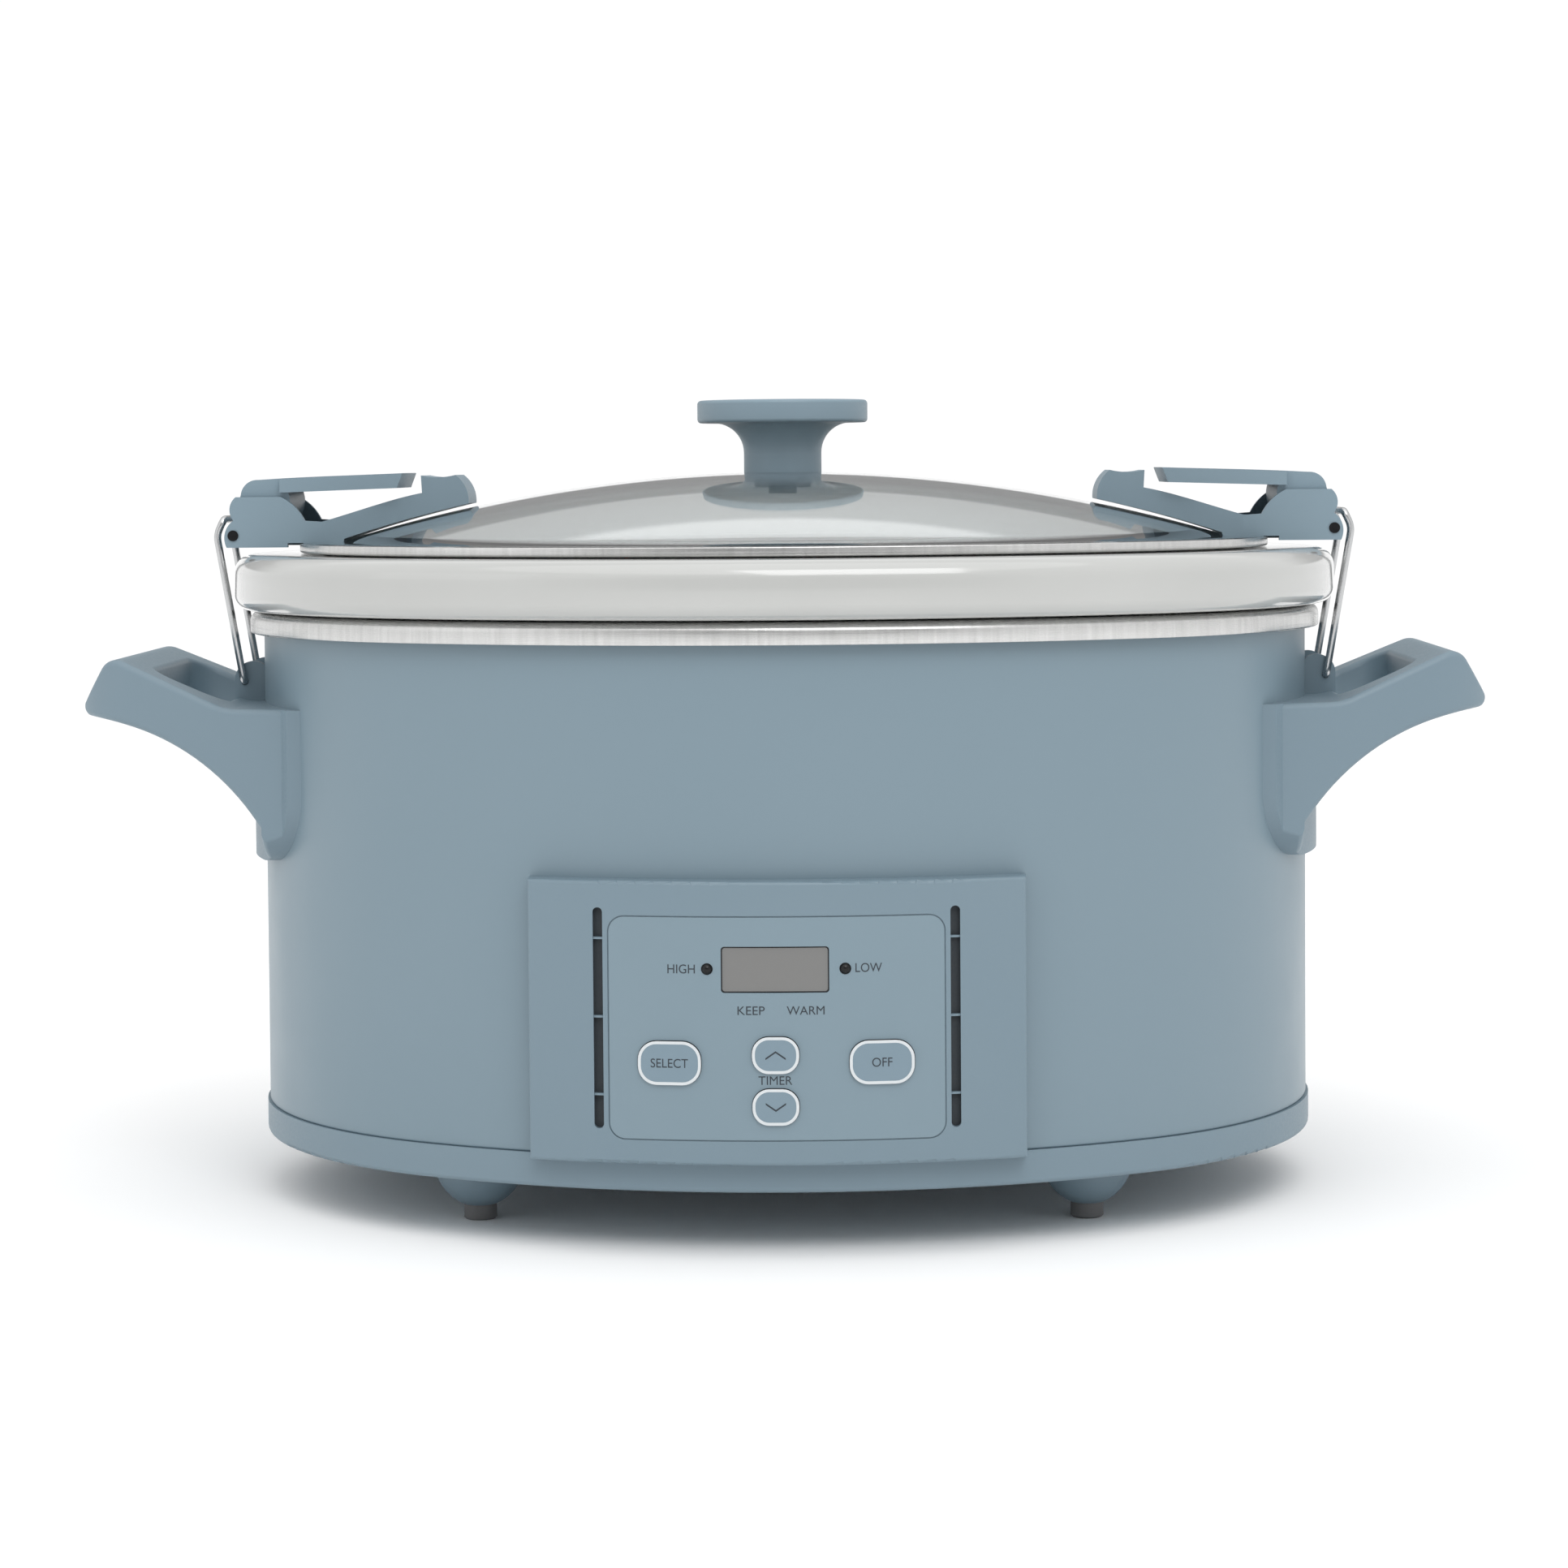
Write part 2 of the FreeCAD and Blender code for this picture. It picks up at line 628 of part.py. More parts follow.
def bezel_screws():
    """Screws from inside the shell into the panel's posts."""
    solids = []
    for x, z in BEZEL_SCREWS:
        head_at = Vector(x, -oval_y(-SHELL_WALL, abs(x) + 2.4), z)
        solids.append(screw(head_at, Vector(0, -1, 0), 1.3, 7.0, 2.3, 1.4))
    return solids


def tact_switches():
    """One small push switch on the board behind each button."""
    solids = []
    for cx, cz, width, height, radius in BUTTONS.values():
        case = box(cx - 3, cx + 3, BOARD_FRONT - 1.4, BOARD_FRONT, cz - 3, cz + 3)
        solids.append(case.fuse(rod(Vector(cx, BOARD_FRONT, cz), Vector(cx, SWITCH_TOP, cz), 1.7)))
    return solids


def button(name):
    """Rubber key: a cap that follows the panel's curve, and a flange behind the bezel."""
    cx, cz, width, height, radius = BUTTONS[name]
    cap = plate_xz(cx, cz, width, height, radius, -140, BUTTON_FLANGE_FRONT)
    cap = cap.common(oval_solid(BUTTON_PROUD, cz - 10, cz + 10))
    front = [e for e in cap.Edges if e.BoundBox.YMax < BUTTON_FLANGE_FRONT - 0.5]
    cap = cap.makeFillet(0.4, front)
    back = BUTTON_FLANGE_FRONT + BUTTON_FLANGE
    flange = plate_xz(cx, cz, width + 1.4, height + 1.4, radius, BUTTON_FLANGE_FRONT, back)
    return cap.fuse(flange)


# ---------------------------------------------------------------- base: handles and bails

def left_handle():
    """Loop handle with its wrap-round flange and the two ears for the bail."""
    crest_x, crest_z = HANDLE_CREST
    root = HANDLE_TOP_ROOT
    foot = HANDLE_BOTTOM
    loop = slab([
        bar(-140, root, -171, root),
        bar(-171, root, crest_x, crest_z),
        bar(crest_x, crest_z, HANDLE_TIP_X, HANDLE_TIP_Z),
        bow(HANDLE_TIP_X, HANDLE_TIP_Z, -184.0, 140.8, -159.5, 117.0),
        bar(-159.5, 117.0, -159.5, foot),
        bar(-159.5, foot, -140, foot),
        bar(-140, foot, -140, root),
    ], 70)
    loop = loop.makeFillet(18.0, edges_at(loop, -171, root))
    loop = loop.makeFillet(6.0, edges_at(loop, crest_x, crest_z))
    loop = loop.makeFillet(3.0, edges_at(loop, HANDLE_TIP_X, HANDLE_TIP_Z))
    tip = HANDLE_TIP_X - 1
    plan = Part.Face(Part.makePolygon([
        Vector(-120, -69, 90), Vector(tip, -HANDLE_TIP_HALF, 90), Vector(tip, HANDLE_TIP_HALF, 90),
        Vector(-120, 69, 90), Vector(-120, -69, 90),
    ])).extrude(Vector(0, 0, 100))
    corners = [e for e in plan.Edges if e.BoundBox.XMax < HANDLE_TIP_X and e.BoundBox.ZLength > 50]
    loop = loop.common(plan.makeFillet(HANDLE_TIP_CORNER, corners))
    loop = loop.common(flange_outline(-230, 250))
    loop = loop.makeFillet(HANDLE_EDGE_R, rim_edges(loop))
    cx, length, width, radius = GRIP_HOLE
    loop = loop.cut(plate_xy(cx, 0, length, width, radius, 80, 200))
    loop = loop.makeFillet(HANDLE_EDGE_R, grip_hole_edges(loop))
    flange = flange_outline(-190, root).common(oval_ring(HANDLE_FLANGE, 0, foot - 1, root + 1))
    handle = loop.cut(oval_solid(0, 60, 200)).fuse(flange)
    for side in (-1, 1):
        y0, y1 = sorted((side * EAR_Y[0], side * EAR_Y[1]))
        middle = (EAR_X[0] + EAR_X[1]) / 2
        half = (EAR_X[1] - EAR_X[0]) / 2
        ear = box(EAR_X[0], EAR_X[1], y0, y1, 150, EAR_TOP - half)
        ear = ear.fuse(rod(Vector(middle, y0, EAR_TOP - half), Vector(middle, y1, EAR_TOP - half), half))
        handle = handle.fuse(ear.cut(oval_solid(0, 140, 180)))
    x, z = BAIL_PIVOT
    handle = handle.cut(rod(Vector(x, -22, z), Vector(x, 22, z), BAIL_R + BAIL_FIT))
    for y, z in HANDLE_SCREWS:
        handle = handle.cut(rod(Vector(-130, y, z), Vector(-169, y, z), 1.6))
    return handle


def flange_outline(x0, top):
    """The flange's outline from the side, with round lower corners, up to this height."""
    half = HANDLE_FLANGE_HALF
    middle = (HANDLE_TOP_ROOT + HANDLE_BOTTOM) / 2
    height = HANDLE_TOP_ROOT - HANDLE_BOTTOM
    outline = plate_yz(0, middle, 2 * half, height, HANDLE_FLANGE_CORNER, x0, -100)
    return outline.fuse(box(x0, -100, -half, half, middle, top))


def plate_yz(cy, cz, width, height, radius, x0, x1):
    """A rounded rectangle, seen from the side, between x0 and x1."""
    return plate(cy, cz, width, height, radius, lambda u, w: Vector(x0, u, w), Vector(x1 - x0, 0, 0))


def edges_at(solid, x, z):
    """Edges that run along Y at this x and z."""
    found = []
    for edge in solid.Edges:
        bounds = edge.BoundBox
        if bounds.YLength > 20 and abs(bounds.Center.x - x) < 0.01 and abs(bounds.Center.z - z) < 0.01:
            found.append(edge)
    return found


def grip_hole_edges(loop):
    """The mouths of the grip hole, above and below."""
    cx, length, width, radius = GRIP_HOLE
    mouths = []
    for edge in loop.Edges:
        bounds = edge.BoundBox
        inside = abs(bounds.Center.x - cx) < length / 2 + 0.1 and bounds.YMax < width / 2 + 0.1
        if inside and bounds.YMin > -width / 2 - 0.1 and bounds.ZLength < 0.9 * edge.Length:
            mouths.append(edge)
    return mouths


def rim_edges(loop):
    """Edges that are neither straight up, nor straight across, nor at the body's end."""
    found = []
    for edge in loop.Edges:
        bounds = edge.BoundBox
        straight = isinstance(edge.Curve, Part.Line)
        if straight and (bounds.ZLength > 0.99 * edge.Length or bounds.YLength > 0.99 * edge.Length):
            continue
        if bounds.XMin > -141:
            continue
        found.append(edge)
    return found


def left_handle_screws():
    """Screws from inside the shell into the handle."""
    solids = []
    for y, z in HANDLE_SCREWS:
        inner = -oval_x(-SHELL_WALL, abs(y) + 3.2)
        solids.append(screw(Vector(inner, y, z), Vector(-1, 0, 0), 1.6, 14.0, 3.0, 1.6))
    return solids


def left_bail():
    """Spring-wire bail: a crossbar, two legs, and two ends turned in through the ears."""
    x, z = BAIL_PIVOT
    sx, sz = BAIL_SHOULDER
    cx, cz = BAIL_CROSSBAR
    y = BAIL_LEG_Y
    return wire_rod([
        Vector(x, -EAR_Y[0], z), Vector(x, -y, z), Vector(sx, -y, sz), Vector(cx, -y, cz),
        Vector(cx, y, cz), Vector(sx, y, sz), Vector(x, y, z), Vector(x, EAR_Y[0], z),
    ], BAIL_R)


# ---------------------------------------------------------------- crock

def crock():
    """Glazed stoneware pot: thick rolled rim, straight wall, rounded floor."""
    rim = oval_solid(RIM_PROUD, RIM_BOTTOM, RIM_TOP)
    rim = rim.makeFillet(RIM_FILLET_TOP, level_edges(rim, RIM_TOP))
    rim = rim.makeFillet(RIM_FILLET_BOTTOM, level_edges(rim, RIM_BOTTOM))
    pot = oval_solid(CROCK_OUTER, CROCK_BOTTOM, RIM_BOTTOM + 8)
    pot = pot.makeFillet(CROCK_FOOT_FILLET, level_edges(pot, CROCK_BOTTOM))
    cavity = oval_solid(CROCK_INNER, CROCK_BOTTOM + CROCK_FLOOR, RIM_TOP)
    cavity = cavity.makeFillet(CROCK_FLOOR_FILLET, level_edges(cavity, CROCK_BOTTOM + CROCK_FLOOR))
    pot = rim.fuse(pot).cut(cavity)
    mouth = level_edges(pot, RIM_TOP, CROCK_INNER)
    return pot.makeFillet(CROCK_MOUTH_FILLET, mouth)


# ---------------------------------------------------------------- lid

def dome_solid(half_x, half_y, base, top):
    """A paraboloid cap over an ellipse."""
    curve = Part.BezierCurve()
    curve.setPoles([Vector(0, 0, top), Vector(half_x / 2, 0, top), Vector(half_x, 0, base)])
    face = Part.Face(Part.Wire([
        curve.toShape(), bar(half_x, base, 0, base), bar(0, base, 0, top),
    ]))
    squeeze = FreeCAD.Matrix()
    squeeze.scale(1.0, half_y / half_x, 1.0)
    return face.revolve(ORIGIN, Z_AXIS, 360).transformGeometry(squeeze)


def lid_glass():
    """Tempered glass lid: shallow dome in a flat flange."""
    under = FLANGE_TOP - GLASS_FLANGE
    glass = oval_solid(LID_EDGE - 0.6, under, FLANGE_TOP)
    glass = glass.fuse(dome_solid(DOME_FOOT_X, DOME_FOOT_Y, FLANGE_TOP, DOME_TOP))
    inner_x = DOME_FOOT_X - DOME_WALL_FOOT
    inner_y = DOME_FOOT_Y - DOME_WALL_FOOT
    glass = glass.cut(dome_solid(inner_x, inner_y, under, DOME_TOP - DOME_WALL_TOP))
    glass = glass.cut(Part.makeCylinder(3.4, 20, Vector(0, 0, 212)))
    for x, y in four_corners(LATCH_SCREW_X, LATCH_SCREW_Y):
        glass = glass.cut(Part.makeCylinder(1.7, 8, Vector(x, y, 200)))
    return glass


def lid_rim():
    """Steel band round the edge of the glass."""
    under = FLANGE_TOP - GLASS_FLANGE
    wall = oval_ring(LID_EDGE, LID_EDGE - 0.6, under - 0.6, FLANGE_TOP - 0.2)
    lip = oval_ring(LID_EDGE - 0.6, LID_EDGE - 2.0, under - 0.6, under)
    return wall.fuse(lip)


def lid_gasket():
    """Silicone seal: a flat web under the glass, and a lip that hangs inside the crock."""
    under = FLANGE_TOP - GLASS_FLANGE
    web = oval_ring(LID_EDGE - 2.0, CROCK_INNER - 2.8, under - 0.6, under)
    lip = oval_ring(CROCK_INNER - 0.8, CROCK_INNER - 2.8, 195.0, under - 0.6)
    return web.fuse(lip)


def knob():
    """Mushroom knob with a hollow curve from the stem to the disc."""
    disc_z = KNOB_TOP - KNOB_DISC
    throat = KNOB_STEM_R + KNOB_FILLET
    dip = KNOB_FILLET * (1.0 - math.sqrt(0.5))
    low = 220.0
    body = Part.Face(Part.Wire([
        bar(0, low, KNOB_STEM_R, low),
        bar(KNOB_STEM_R, low, KNOB_STEM_R, disc_z - KNOB_FILLET),
        bow(KNOB_STEM_R, disc_z - KNOB_FILLET, KNOB_STEM_R + dip, disc_z - dip, throat, disc_z),
        bar(throat, disc_z, KNOB_R, disc_z),
        bar(KNOB_R, disc_z, KNOB_R, KNOB_TOP),
        bar(KNOB_R, KNOB_TOP, 0, KNOB_TOP),
        bar(0, KNOB_TOP, 0, low),
    ])).revolve(ORIGIN, Z_AXIS, 360)
    rims = [e for e in body.Edges if e.BoundBox.XMax > KNOB_R - 0.1 and e.BoundBox.ZLength < 0.1]
    body = body.makeFillet(1.1, rims)
    body = body.cut(dome_solid(DOME_FOOT_X, DOME_FOOT_Y, FLANGE_TOP, DOME_TOP))
    return body.cut(Part.makeCylinder(2.0, 14.0, Vector(0, 0, 224)))


def knob_washer():
    """Sealing washer between the glass and the knob screw's head."""
    under = DOME_TOP - DOME_WALL_TOP
    washer = Part.makeCylinder(9.0, 2.4, Vector(0, 0, under - 2.0))
    inner_x = DOME_FOOT_X - DOME_WALL_FOOT
    inner_y = DOME_FOOT_Y - DOME_WALL_FOOT
    inner = dome_solid(inner_x, inner_y, FLANGE_TOP - GLASS_FLANGE, under)
    return washer.common(inner).cut(Part.makeCylinder(2.0, 10, Vector(0, 0, 215)))


def knob_screw():
    return screw(Vector(0, 0, DOME_TOP - DOME_WALL_TOP - 2.0), Z_AXIS, 2.0, 17.7, 4.6, 2.4)


# ---------------------------------------------------------------- latch, drawn on the left

def left_latch_frame():
    """Latch moulding on the lid: two cheeks, a floor between them, and the finger arm."""
    seat = FLANGE_TOP
    cheek = Part.Face(Part.Wire([
        bar(-175.8, CHEEK_BOTTOM, -156.4, CHEEK_BOTTOM),
        bar(-156.4, CHEEK_BOTTOM, -156.4, seat),
        bar(-156.4, seat, -145.0, seat),
        bar(-145.0, seat, -145.0, 211.0),
        bar(-145.0, 211.0, -150.9, 211.4),
        bow(-150.9, 211.4, -154.0, 215.8, -158.6, CHEEK_TOP),
        bar(-158.6, CHEEK_TOP, -172.8, CHEEK_TOP),
        bow(-172.8, CHEEK_TOP, -174.7, 215.6, -173.6, 211.6),
        bow(-173.6, 211.6, -176.4, 207.2, -175.8, CHEEK_BOTTOM),
    ])).extrude(Vector(0, CHEEK_Y[1] - CHEEK_Y[0], 0))
    arm = slab([
        flow([(-154.0, 209.0), (-145.7, 211.0), (-130.0, 215.8), (-114.3, 219.9)]),
        bar(-114.3, 219.9, -114.6, 225.4),
        bow(-114.6, 225.4, -109.4, 224.8, -103.7, 225.5),
        bow(-103.7, 225.5, -101.2, 222.8, -99.6, 216.4),
        flow([(-99.6, 216.4), (-114.0, 212.9), (-128.0, 209.0), (-138.6, 205.6)]),
        bar(-138.6, 205.6, -138.9, seat),
        bar(-138.9, seat, -154.0, seat),
        bar(-154.0, seat, -154.0, 209.0),
    ], CHEEK_Y[1])
    plan = Part.Face(Part.makePolygon([
        Vector(-156, -CHEEK_Y[1], 200), Vector(-145, -CHEEK_Y[1], 200), Vector(-126, -14, 200),
        Vector(-98, -12, 200), Vector(-98, 12, 200), Vector(-126, 14, 200),
        Vector(-145, CHEEK_Y[1], 200), Vector(-156, CHEEK_Y[1], 200), Vector(-156, -CHEEK_Y[1], 200),
    ])).extrude(Vector(0, 0, 40))
    frame = arm.common(plan)
    frame = frame.fuse(box(-169.5, -154.0, -CHEEK_Y[0], CHEEK_Y[0], FLANGE_TOP, 206.4))
    frame = frame.fuse(cheek.translated(Vector(0, CHEEK_Y[0], 0)))
    frame = frame.fuse(cheek.translated(Vector(0, -CHEEK_Y[1], 0)))
    frame = frame.cut(dome_solid(DOME_FOOT_X, DOME_FOOT_Y, FLANGE_TOP, DOME_TOP))
    frame = frame.cut(latch_pin_holes())
    for side in (-1, 1):
        frame = frame.cut(Part.makeCylinder(1.3, 5.6, Vector(LATCH_SCREW_X, side * LATCH_SCREW_Y, 203)))
    return frame


def latch_pin_holes():
    """Blind holes for the lever's pin, and through holes for the cheek rivets."""
    px, pz = LEVER_PIVOT
    rx, rz = RIVET
    pin = rod(Vector(px, -LEVER_PIN_HALF, pz), Vector(px, LEVER_PIN_HALF, pz), LEVER_PIN_R)
    return pin.fuse(rod(Vector(rx, -30, rz), Vector(rx, 30, rz), RIVET_R - 0.5))


def left_latch_pins():
    """The lever's pin, whose ends are blind in the cheeks, and the two cheek rivets."""
    px, pz = LEVER_PIVOT
    rx, rz = RIVET
    outside = CHEEK_Y[1]
    solids = [rod(Vector(px, -LEVER_PIN_HALF, pz), Vector(px, LEVER_PIN_HALF, pz), LEVER_PIN_R)]
    for side in (-1, 1):
        inner = Vector(rx, side * CHEEK_Y[0], rz)
        shank = rod(inner, Vector(rx, side * outside, rz), RIVET_R - 0.5)
        cap = rod(Vector(rx, side * outside, rz), Vector(rx, side * (outside + 0.4), rz), RIVET_R)
        solids.append(shank.fuse(cap))
    return solids


def left_latch_lever():
    """Over-centre lever: a finger plate over the cheeks, and a cam leg between them."""
    px, pz = LEVER_PIVOT
    lever = slab([
        flow([(-165.9, 224.4), (-150.0, 225.2), (-135.0, 225.7), (-119.8, 226.2)]),
        bar(-119.8, 226.2, -121.6, 221.5),
        bar(-121.6, 221.5, -156.4, 220.4),
        bow(-156.4, 220.4, -157.4, 212.0, -164.3, 207.2),
        bow(-164.3, 207.2, -170.4, 211.2, -171.5, 219.6),
        bow(-171.5, 219.6, -169.6, 223.2, -165.9, 224.4),
    ], LEVER_HALF)
    wings = slab([
        flow([(-158.8, 224.6), (-150.0, 225.1), (-135.0, 225.6), (-119.85, 226.1)]),
        bar(-119.85, 226.1, -121.6, 221.5),
        bar(-121.6, 221.5, -156.4, 220.4),
        bar(-156.4, 220.4, -158.8, 220.4),
        bar(-158.8, 220.4, -158.8, 224.6),
    ], CHEEK_Y[1])
    return lever.fuse(wings).cut(rod(Vector(px, -20, pz), Vector(px, 20, pz), LEVER_PIN_R + LEVER_FIT))


def left_latch_screws():
    """Screws through the glass flange into the latch moulding."""
    solids = []
    for side in (-1, 1):
        head_at = Vector(LATCH_SCREW_X, side * LATCH_SCREW_Y, FLANGE_TOP - GLASS_FLANGE)
        solids.append(screw(head_at, Z_AXIS, 1.3, 6.6, 2.5, 1.4))
    return solids


# ---------------------------------------------------------------- nodes

def builders():
    """Every node's name and the function that makes its solid or solids."""
    single = [
        base_pan, feet, foot_screws, outer_shell, top_collar, heating_well, heater_band, heater_clip,
        centre_bolt, centre_nut, temperature_sensor, thermal_fuse, power_board, power_board_parts,
        power_board_screws, terminal_block, supply_leads, cord_gland, control_bezel, panel_overlay,
        display_window, display_module, led_lenses, vent_screens, control_board, board_screws,
        bezel_screws, tact_switches, crock, lid_glass, lid_rim, lid_gasket, knob, knob_washer, knob_screw,
    ]
    handed = [
        left_handle, left_handle_screws, left_bail, left_latch_frame, left_latch_lever,
        left_latch_pins, left_latch_screws,
    ]
    nodes = {make.__name__: make for make in single + handed}
    for name in BUTTONS:
        nodes[name] = lambda name=name: button(name)
    for make in handed:
        nodes[make.__name__.replace("left", "right")] = lambda make=make: mirrored(make())
    return nodes


def main():
    os.makedirs("parts", exist_ok=True)
    for name, make in builders().items():
        made = make()
        shape = Part.makeCompound(made) if isinstance(made, list) else made
        shape.exportStep("parts/" + name + ".step")
        print(name, len(shape.Solids), round(shape.Volume), "valid" if shape.isValid() else "NOT VALID")


main()
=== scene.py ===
import json
import math

import bmesh
import bpy
from mathutils import Matrix, Vector


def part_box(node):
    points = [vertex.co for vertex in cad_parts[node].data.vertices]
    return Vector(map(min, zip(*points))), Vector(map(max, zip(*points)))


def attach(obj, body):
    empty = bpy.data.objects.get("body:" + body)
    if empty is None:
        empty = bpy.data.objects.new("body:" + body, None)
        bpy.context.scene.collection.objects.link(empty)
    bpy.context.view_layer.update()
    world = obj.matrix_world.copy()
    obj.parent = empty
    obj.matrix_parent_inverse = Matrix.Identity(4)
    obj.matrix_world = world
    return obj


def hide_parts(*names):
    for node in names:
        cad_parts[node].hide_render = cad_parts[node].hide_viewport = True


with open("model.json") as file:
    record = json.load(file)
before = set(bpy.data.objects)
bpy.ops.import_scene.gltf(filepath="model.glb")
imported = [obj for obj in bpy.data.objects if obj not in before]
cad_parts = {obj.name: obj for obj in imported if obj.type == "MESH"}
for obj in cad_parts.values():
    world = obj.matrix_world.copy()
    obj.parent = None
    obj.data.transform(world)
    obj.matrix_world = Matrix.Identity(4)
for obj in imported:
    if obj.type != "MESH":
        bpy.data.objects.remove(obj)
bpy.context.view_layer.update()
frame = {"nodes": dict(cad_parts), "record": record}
nodes = frame["nodes"]
MM = 0.001

# ------------------------------------------------------------------ driving sizes, in mm
# The plan oval is four tangent arcs: round ends and longer, flatter front and back.

lid_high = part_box("lid_glass")[1]
crock_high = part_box("crock")[1]
shell_low, shell_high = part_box("outer_shell")
BODY_HALF_X = shell_high[0] / MM
BODY_HALF_Y = shell_high[1] / MM
END_R = 115.0
END_X = BODY_HALF_X - END_R
LONG_R = (END_X ** 2 + BODY_HALF_Y ** 2 - END_R ** 2) / (2.0 * (BODY_HALF_Y - END_R))
LONG_Y = LONG_R - BODY_HALF_Y
TURN = math.atan2(LONG_Y, END_X)
STEPS = 240

RIM_PROUD = crock_high[0] / MM - BODY_HALF_X
RIM_TOP = crock_high[2] / MM
FLANGE_TOP = 204.4
DOME_FOOT = (141.5, 104.1)
DOME_INNER = (137.5, 100.1)
WELL_OUT = -6.2
BEZEL_PROUD = 7.2
KEY_PROUD = 8.0
PRINT_LIFT = 0.04

SHARP_EDGE = 38
CAD_CREASE = 28
CAD_WELD = 0.002


def oval_point(turn, offset, z):
    """Where the oval at this offset faces the direction turn, at height z."""
    c = math.cos(turn)
    s = math.sin(turn)
    if abs(math.atan2(abs(s), abs(c))) <= TURN:
        radius = END_R + offset
        return Vector((math.copysign(END_X, c) + radius * c, radius * s, z)) * MM
    radius = LONG_R + offset
    return Vector((radius * c, radius * s - math.copysign(LONG_Y, s), z)) * MM


def ellipse_point(turn, a, b, z):
    """The same for an ellipse with half-axes a and b."""
    c = math.cos(turn)
    s = math.sin(turn)
    length = math.sqrt((a * c) ** 2 + (b * s) ** 2)
    return Vector((a * a * c / length, b * b * s / length, z)) * MM


def front_y(x, offset):
    """Y in mm of the front of the oval at this offset, at x in mm."""
    x = abs(x)
    if x > (LONG_R + offset) * math.cos(TURN):
        return -math.sqrt((END_R + offset) ** 2 - (x - END_X) ** 2)
    return LONG_Y - math.sqrt((LONG_R + offset) ** 2 - x ** 2)


def arc(cu, cw, radius, start, end, count=8):
    """Points of an arc in a section; angles in degrees from outward, towards up."""
    angles = [math.radians(start + (end - start) * i / count) for i in range(count + 1)]
    return [(cu + radius * math.cos(a), cw + radius * math.sin(a)) for a in angles]


# ------------------------------------------------------------------ mesh helpers

def turns():
    return [2 * math.pi * (i + 0.5) / STEPS for i in range(STEPS)]


def oval_rings(section):
    """One ring of points round the oval for each (offset, height) of a section."""
    return [[oval_point(t, offset, z) for t in turns()] for offset, z in section]


def round_rings(section):
    """One ring of points round a vertical axis for each (radius, height) of a section."""
    rings = []
    for radius, z in section:
        rings.append([Vector((radius * math.cos(t), radius * math.sin(t), z)) * MM for t in turns()])
    return rings


def skin(name, rings, loop=False, caps=False):
    """A mesh through rings of points; loop joins the last to the first, caps close the ends."""
    bm = bmesh.new()
    rows = [[bm.verts.new(p) for p in ring] for ring in rings]
    pairs = list(zip(rows, rows[1:]))
    if loop:
        pairs.append((rows[-1], rows[0]))
    for lower, upper in pairs:
        for i in range(len(lower)):
            j = (i + 1) % len(lower)
            bm.faces.new((lower[i], lower[j], upper[j], upper[i]))
    if caps:
        bm.faces.new(list(reversed(rows[0])))
        bm.faces.new(rows[-1])
    return mesh_piece(name, bm)


def mesh_piece(name, bm):
    """The mesh as a piece: shaded smooth, with its sharper edges kept."""
    bmesh.ops.recalc_face_normals(bm, faces=bm.faces)
    mesh = bpy.data.meshes.new(name)
    bm.to_mesh(mesh)
    bm.free()
    piece = bpy.data.objects.new(name, mesh)
    bpy.context.scene.collection.objects.link(piece)
    mesh.shade_smooth()
    mesh.set_sharp_from_angle(angle=math.radians(SHARP_EDGE))
    return piece


def dress(piece, material, slot, body, *stands_for):
    """Material, record slot (not used), body, and the CAD nodes that the piece stands for."""
    piece.data.materials.clear()
    piece.data.materials.append(material)
    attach(piece, body)
    if stands_for:
        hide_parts(*stands_for)


# ------------------------------------------------------------------ material helpers

def colour(code):
    """An sRGB hex value as linear numbers."""
    out = []
    for i in (1, 3, 5):
        v = int(code[i:i + 2], 16) / 255
        out.append(v / 12.92 if v <= 0.04045 else ((v + 0.055) / 1.055) ** 2.4)
    return (*out, 1.0)


def add(tree, kind, links=None, inputs=None, **settings):
    """A node with its settings, its constant sockets and the sockets that feed it."""
    node = tree.nodes.new(kind)
    for key, value in settings.items():
        setattr(node, key, value)
    for key, value in (inputs or {}).items():
        node.inputs[key].default_value = value
    for key, socket in (links or {}).items():
        tree.links.new(socket, node.inputs[key])
    return node


def grain(size_mm, detail=3.0, rough=0.5, squash=(1.0, 1.0, 1.0)):
    """A noise pattern whose blobs are about size_mm across, squashed along X, Y, Z."""
    return size_mm, detail, rough, squash


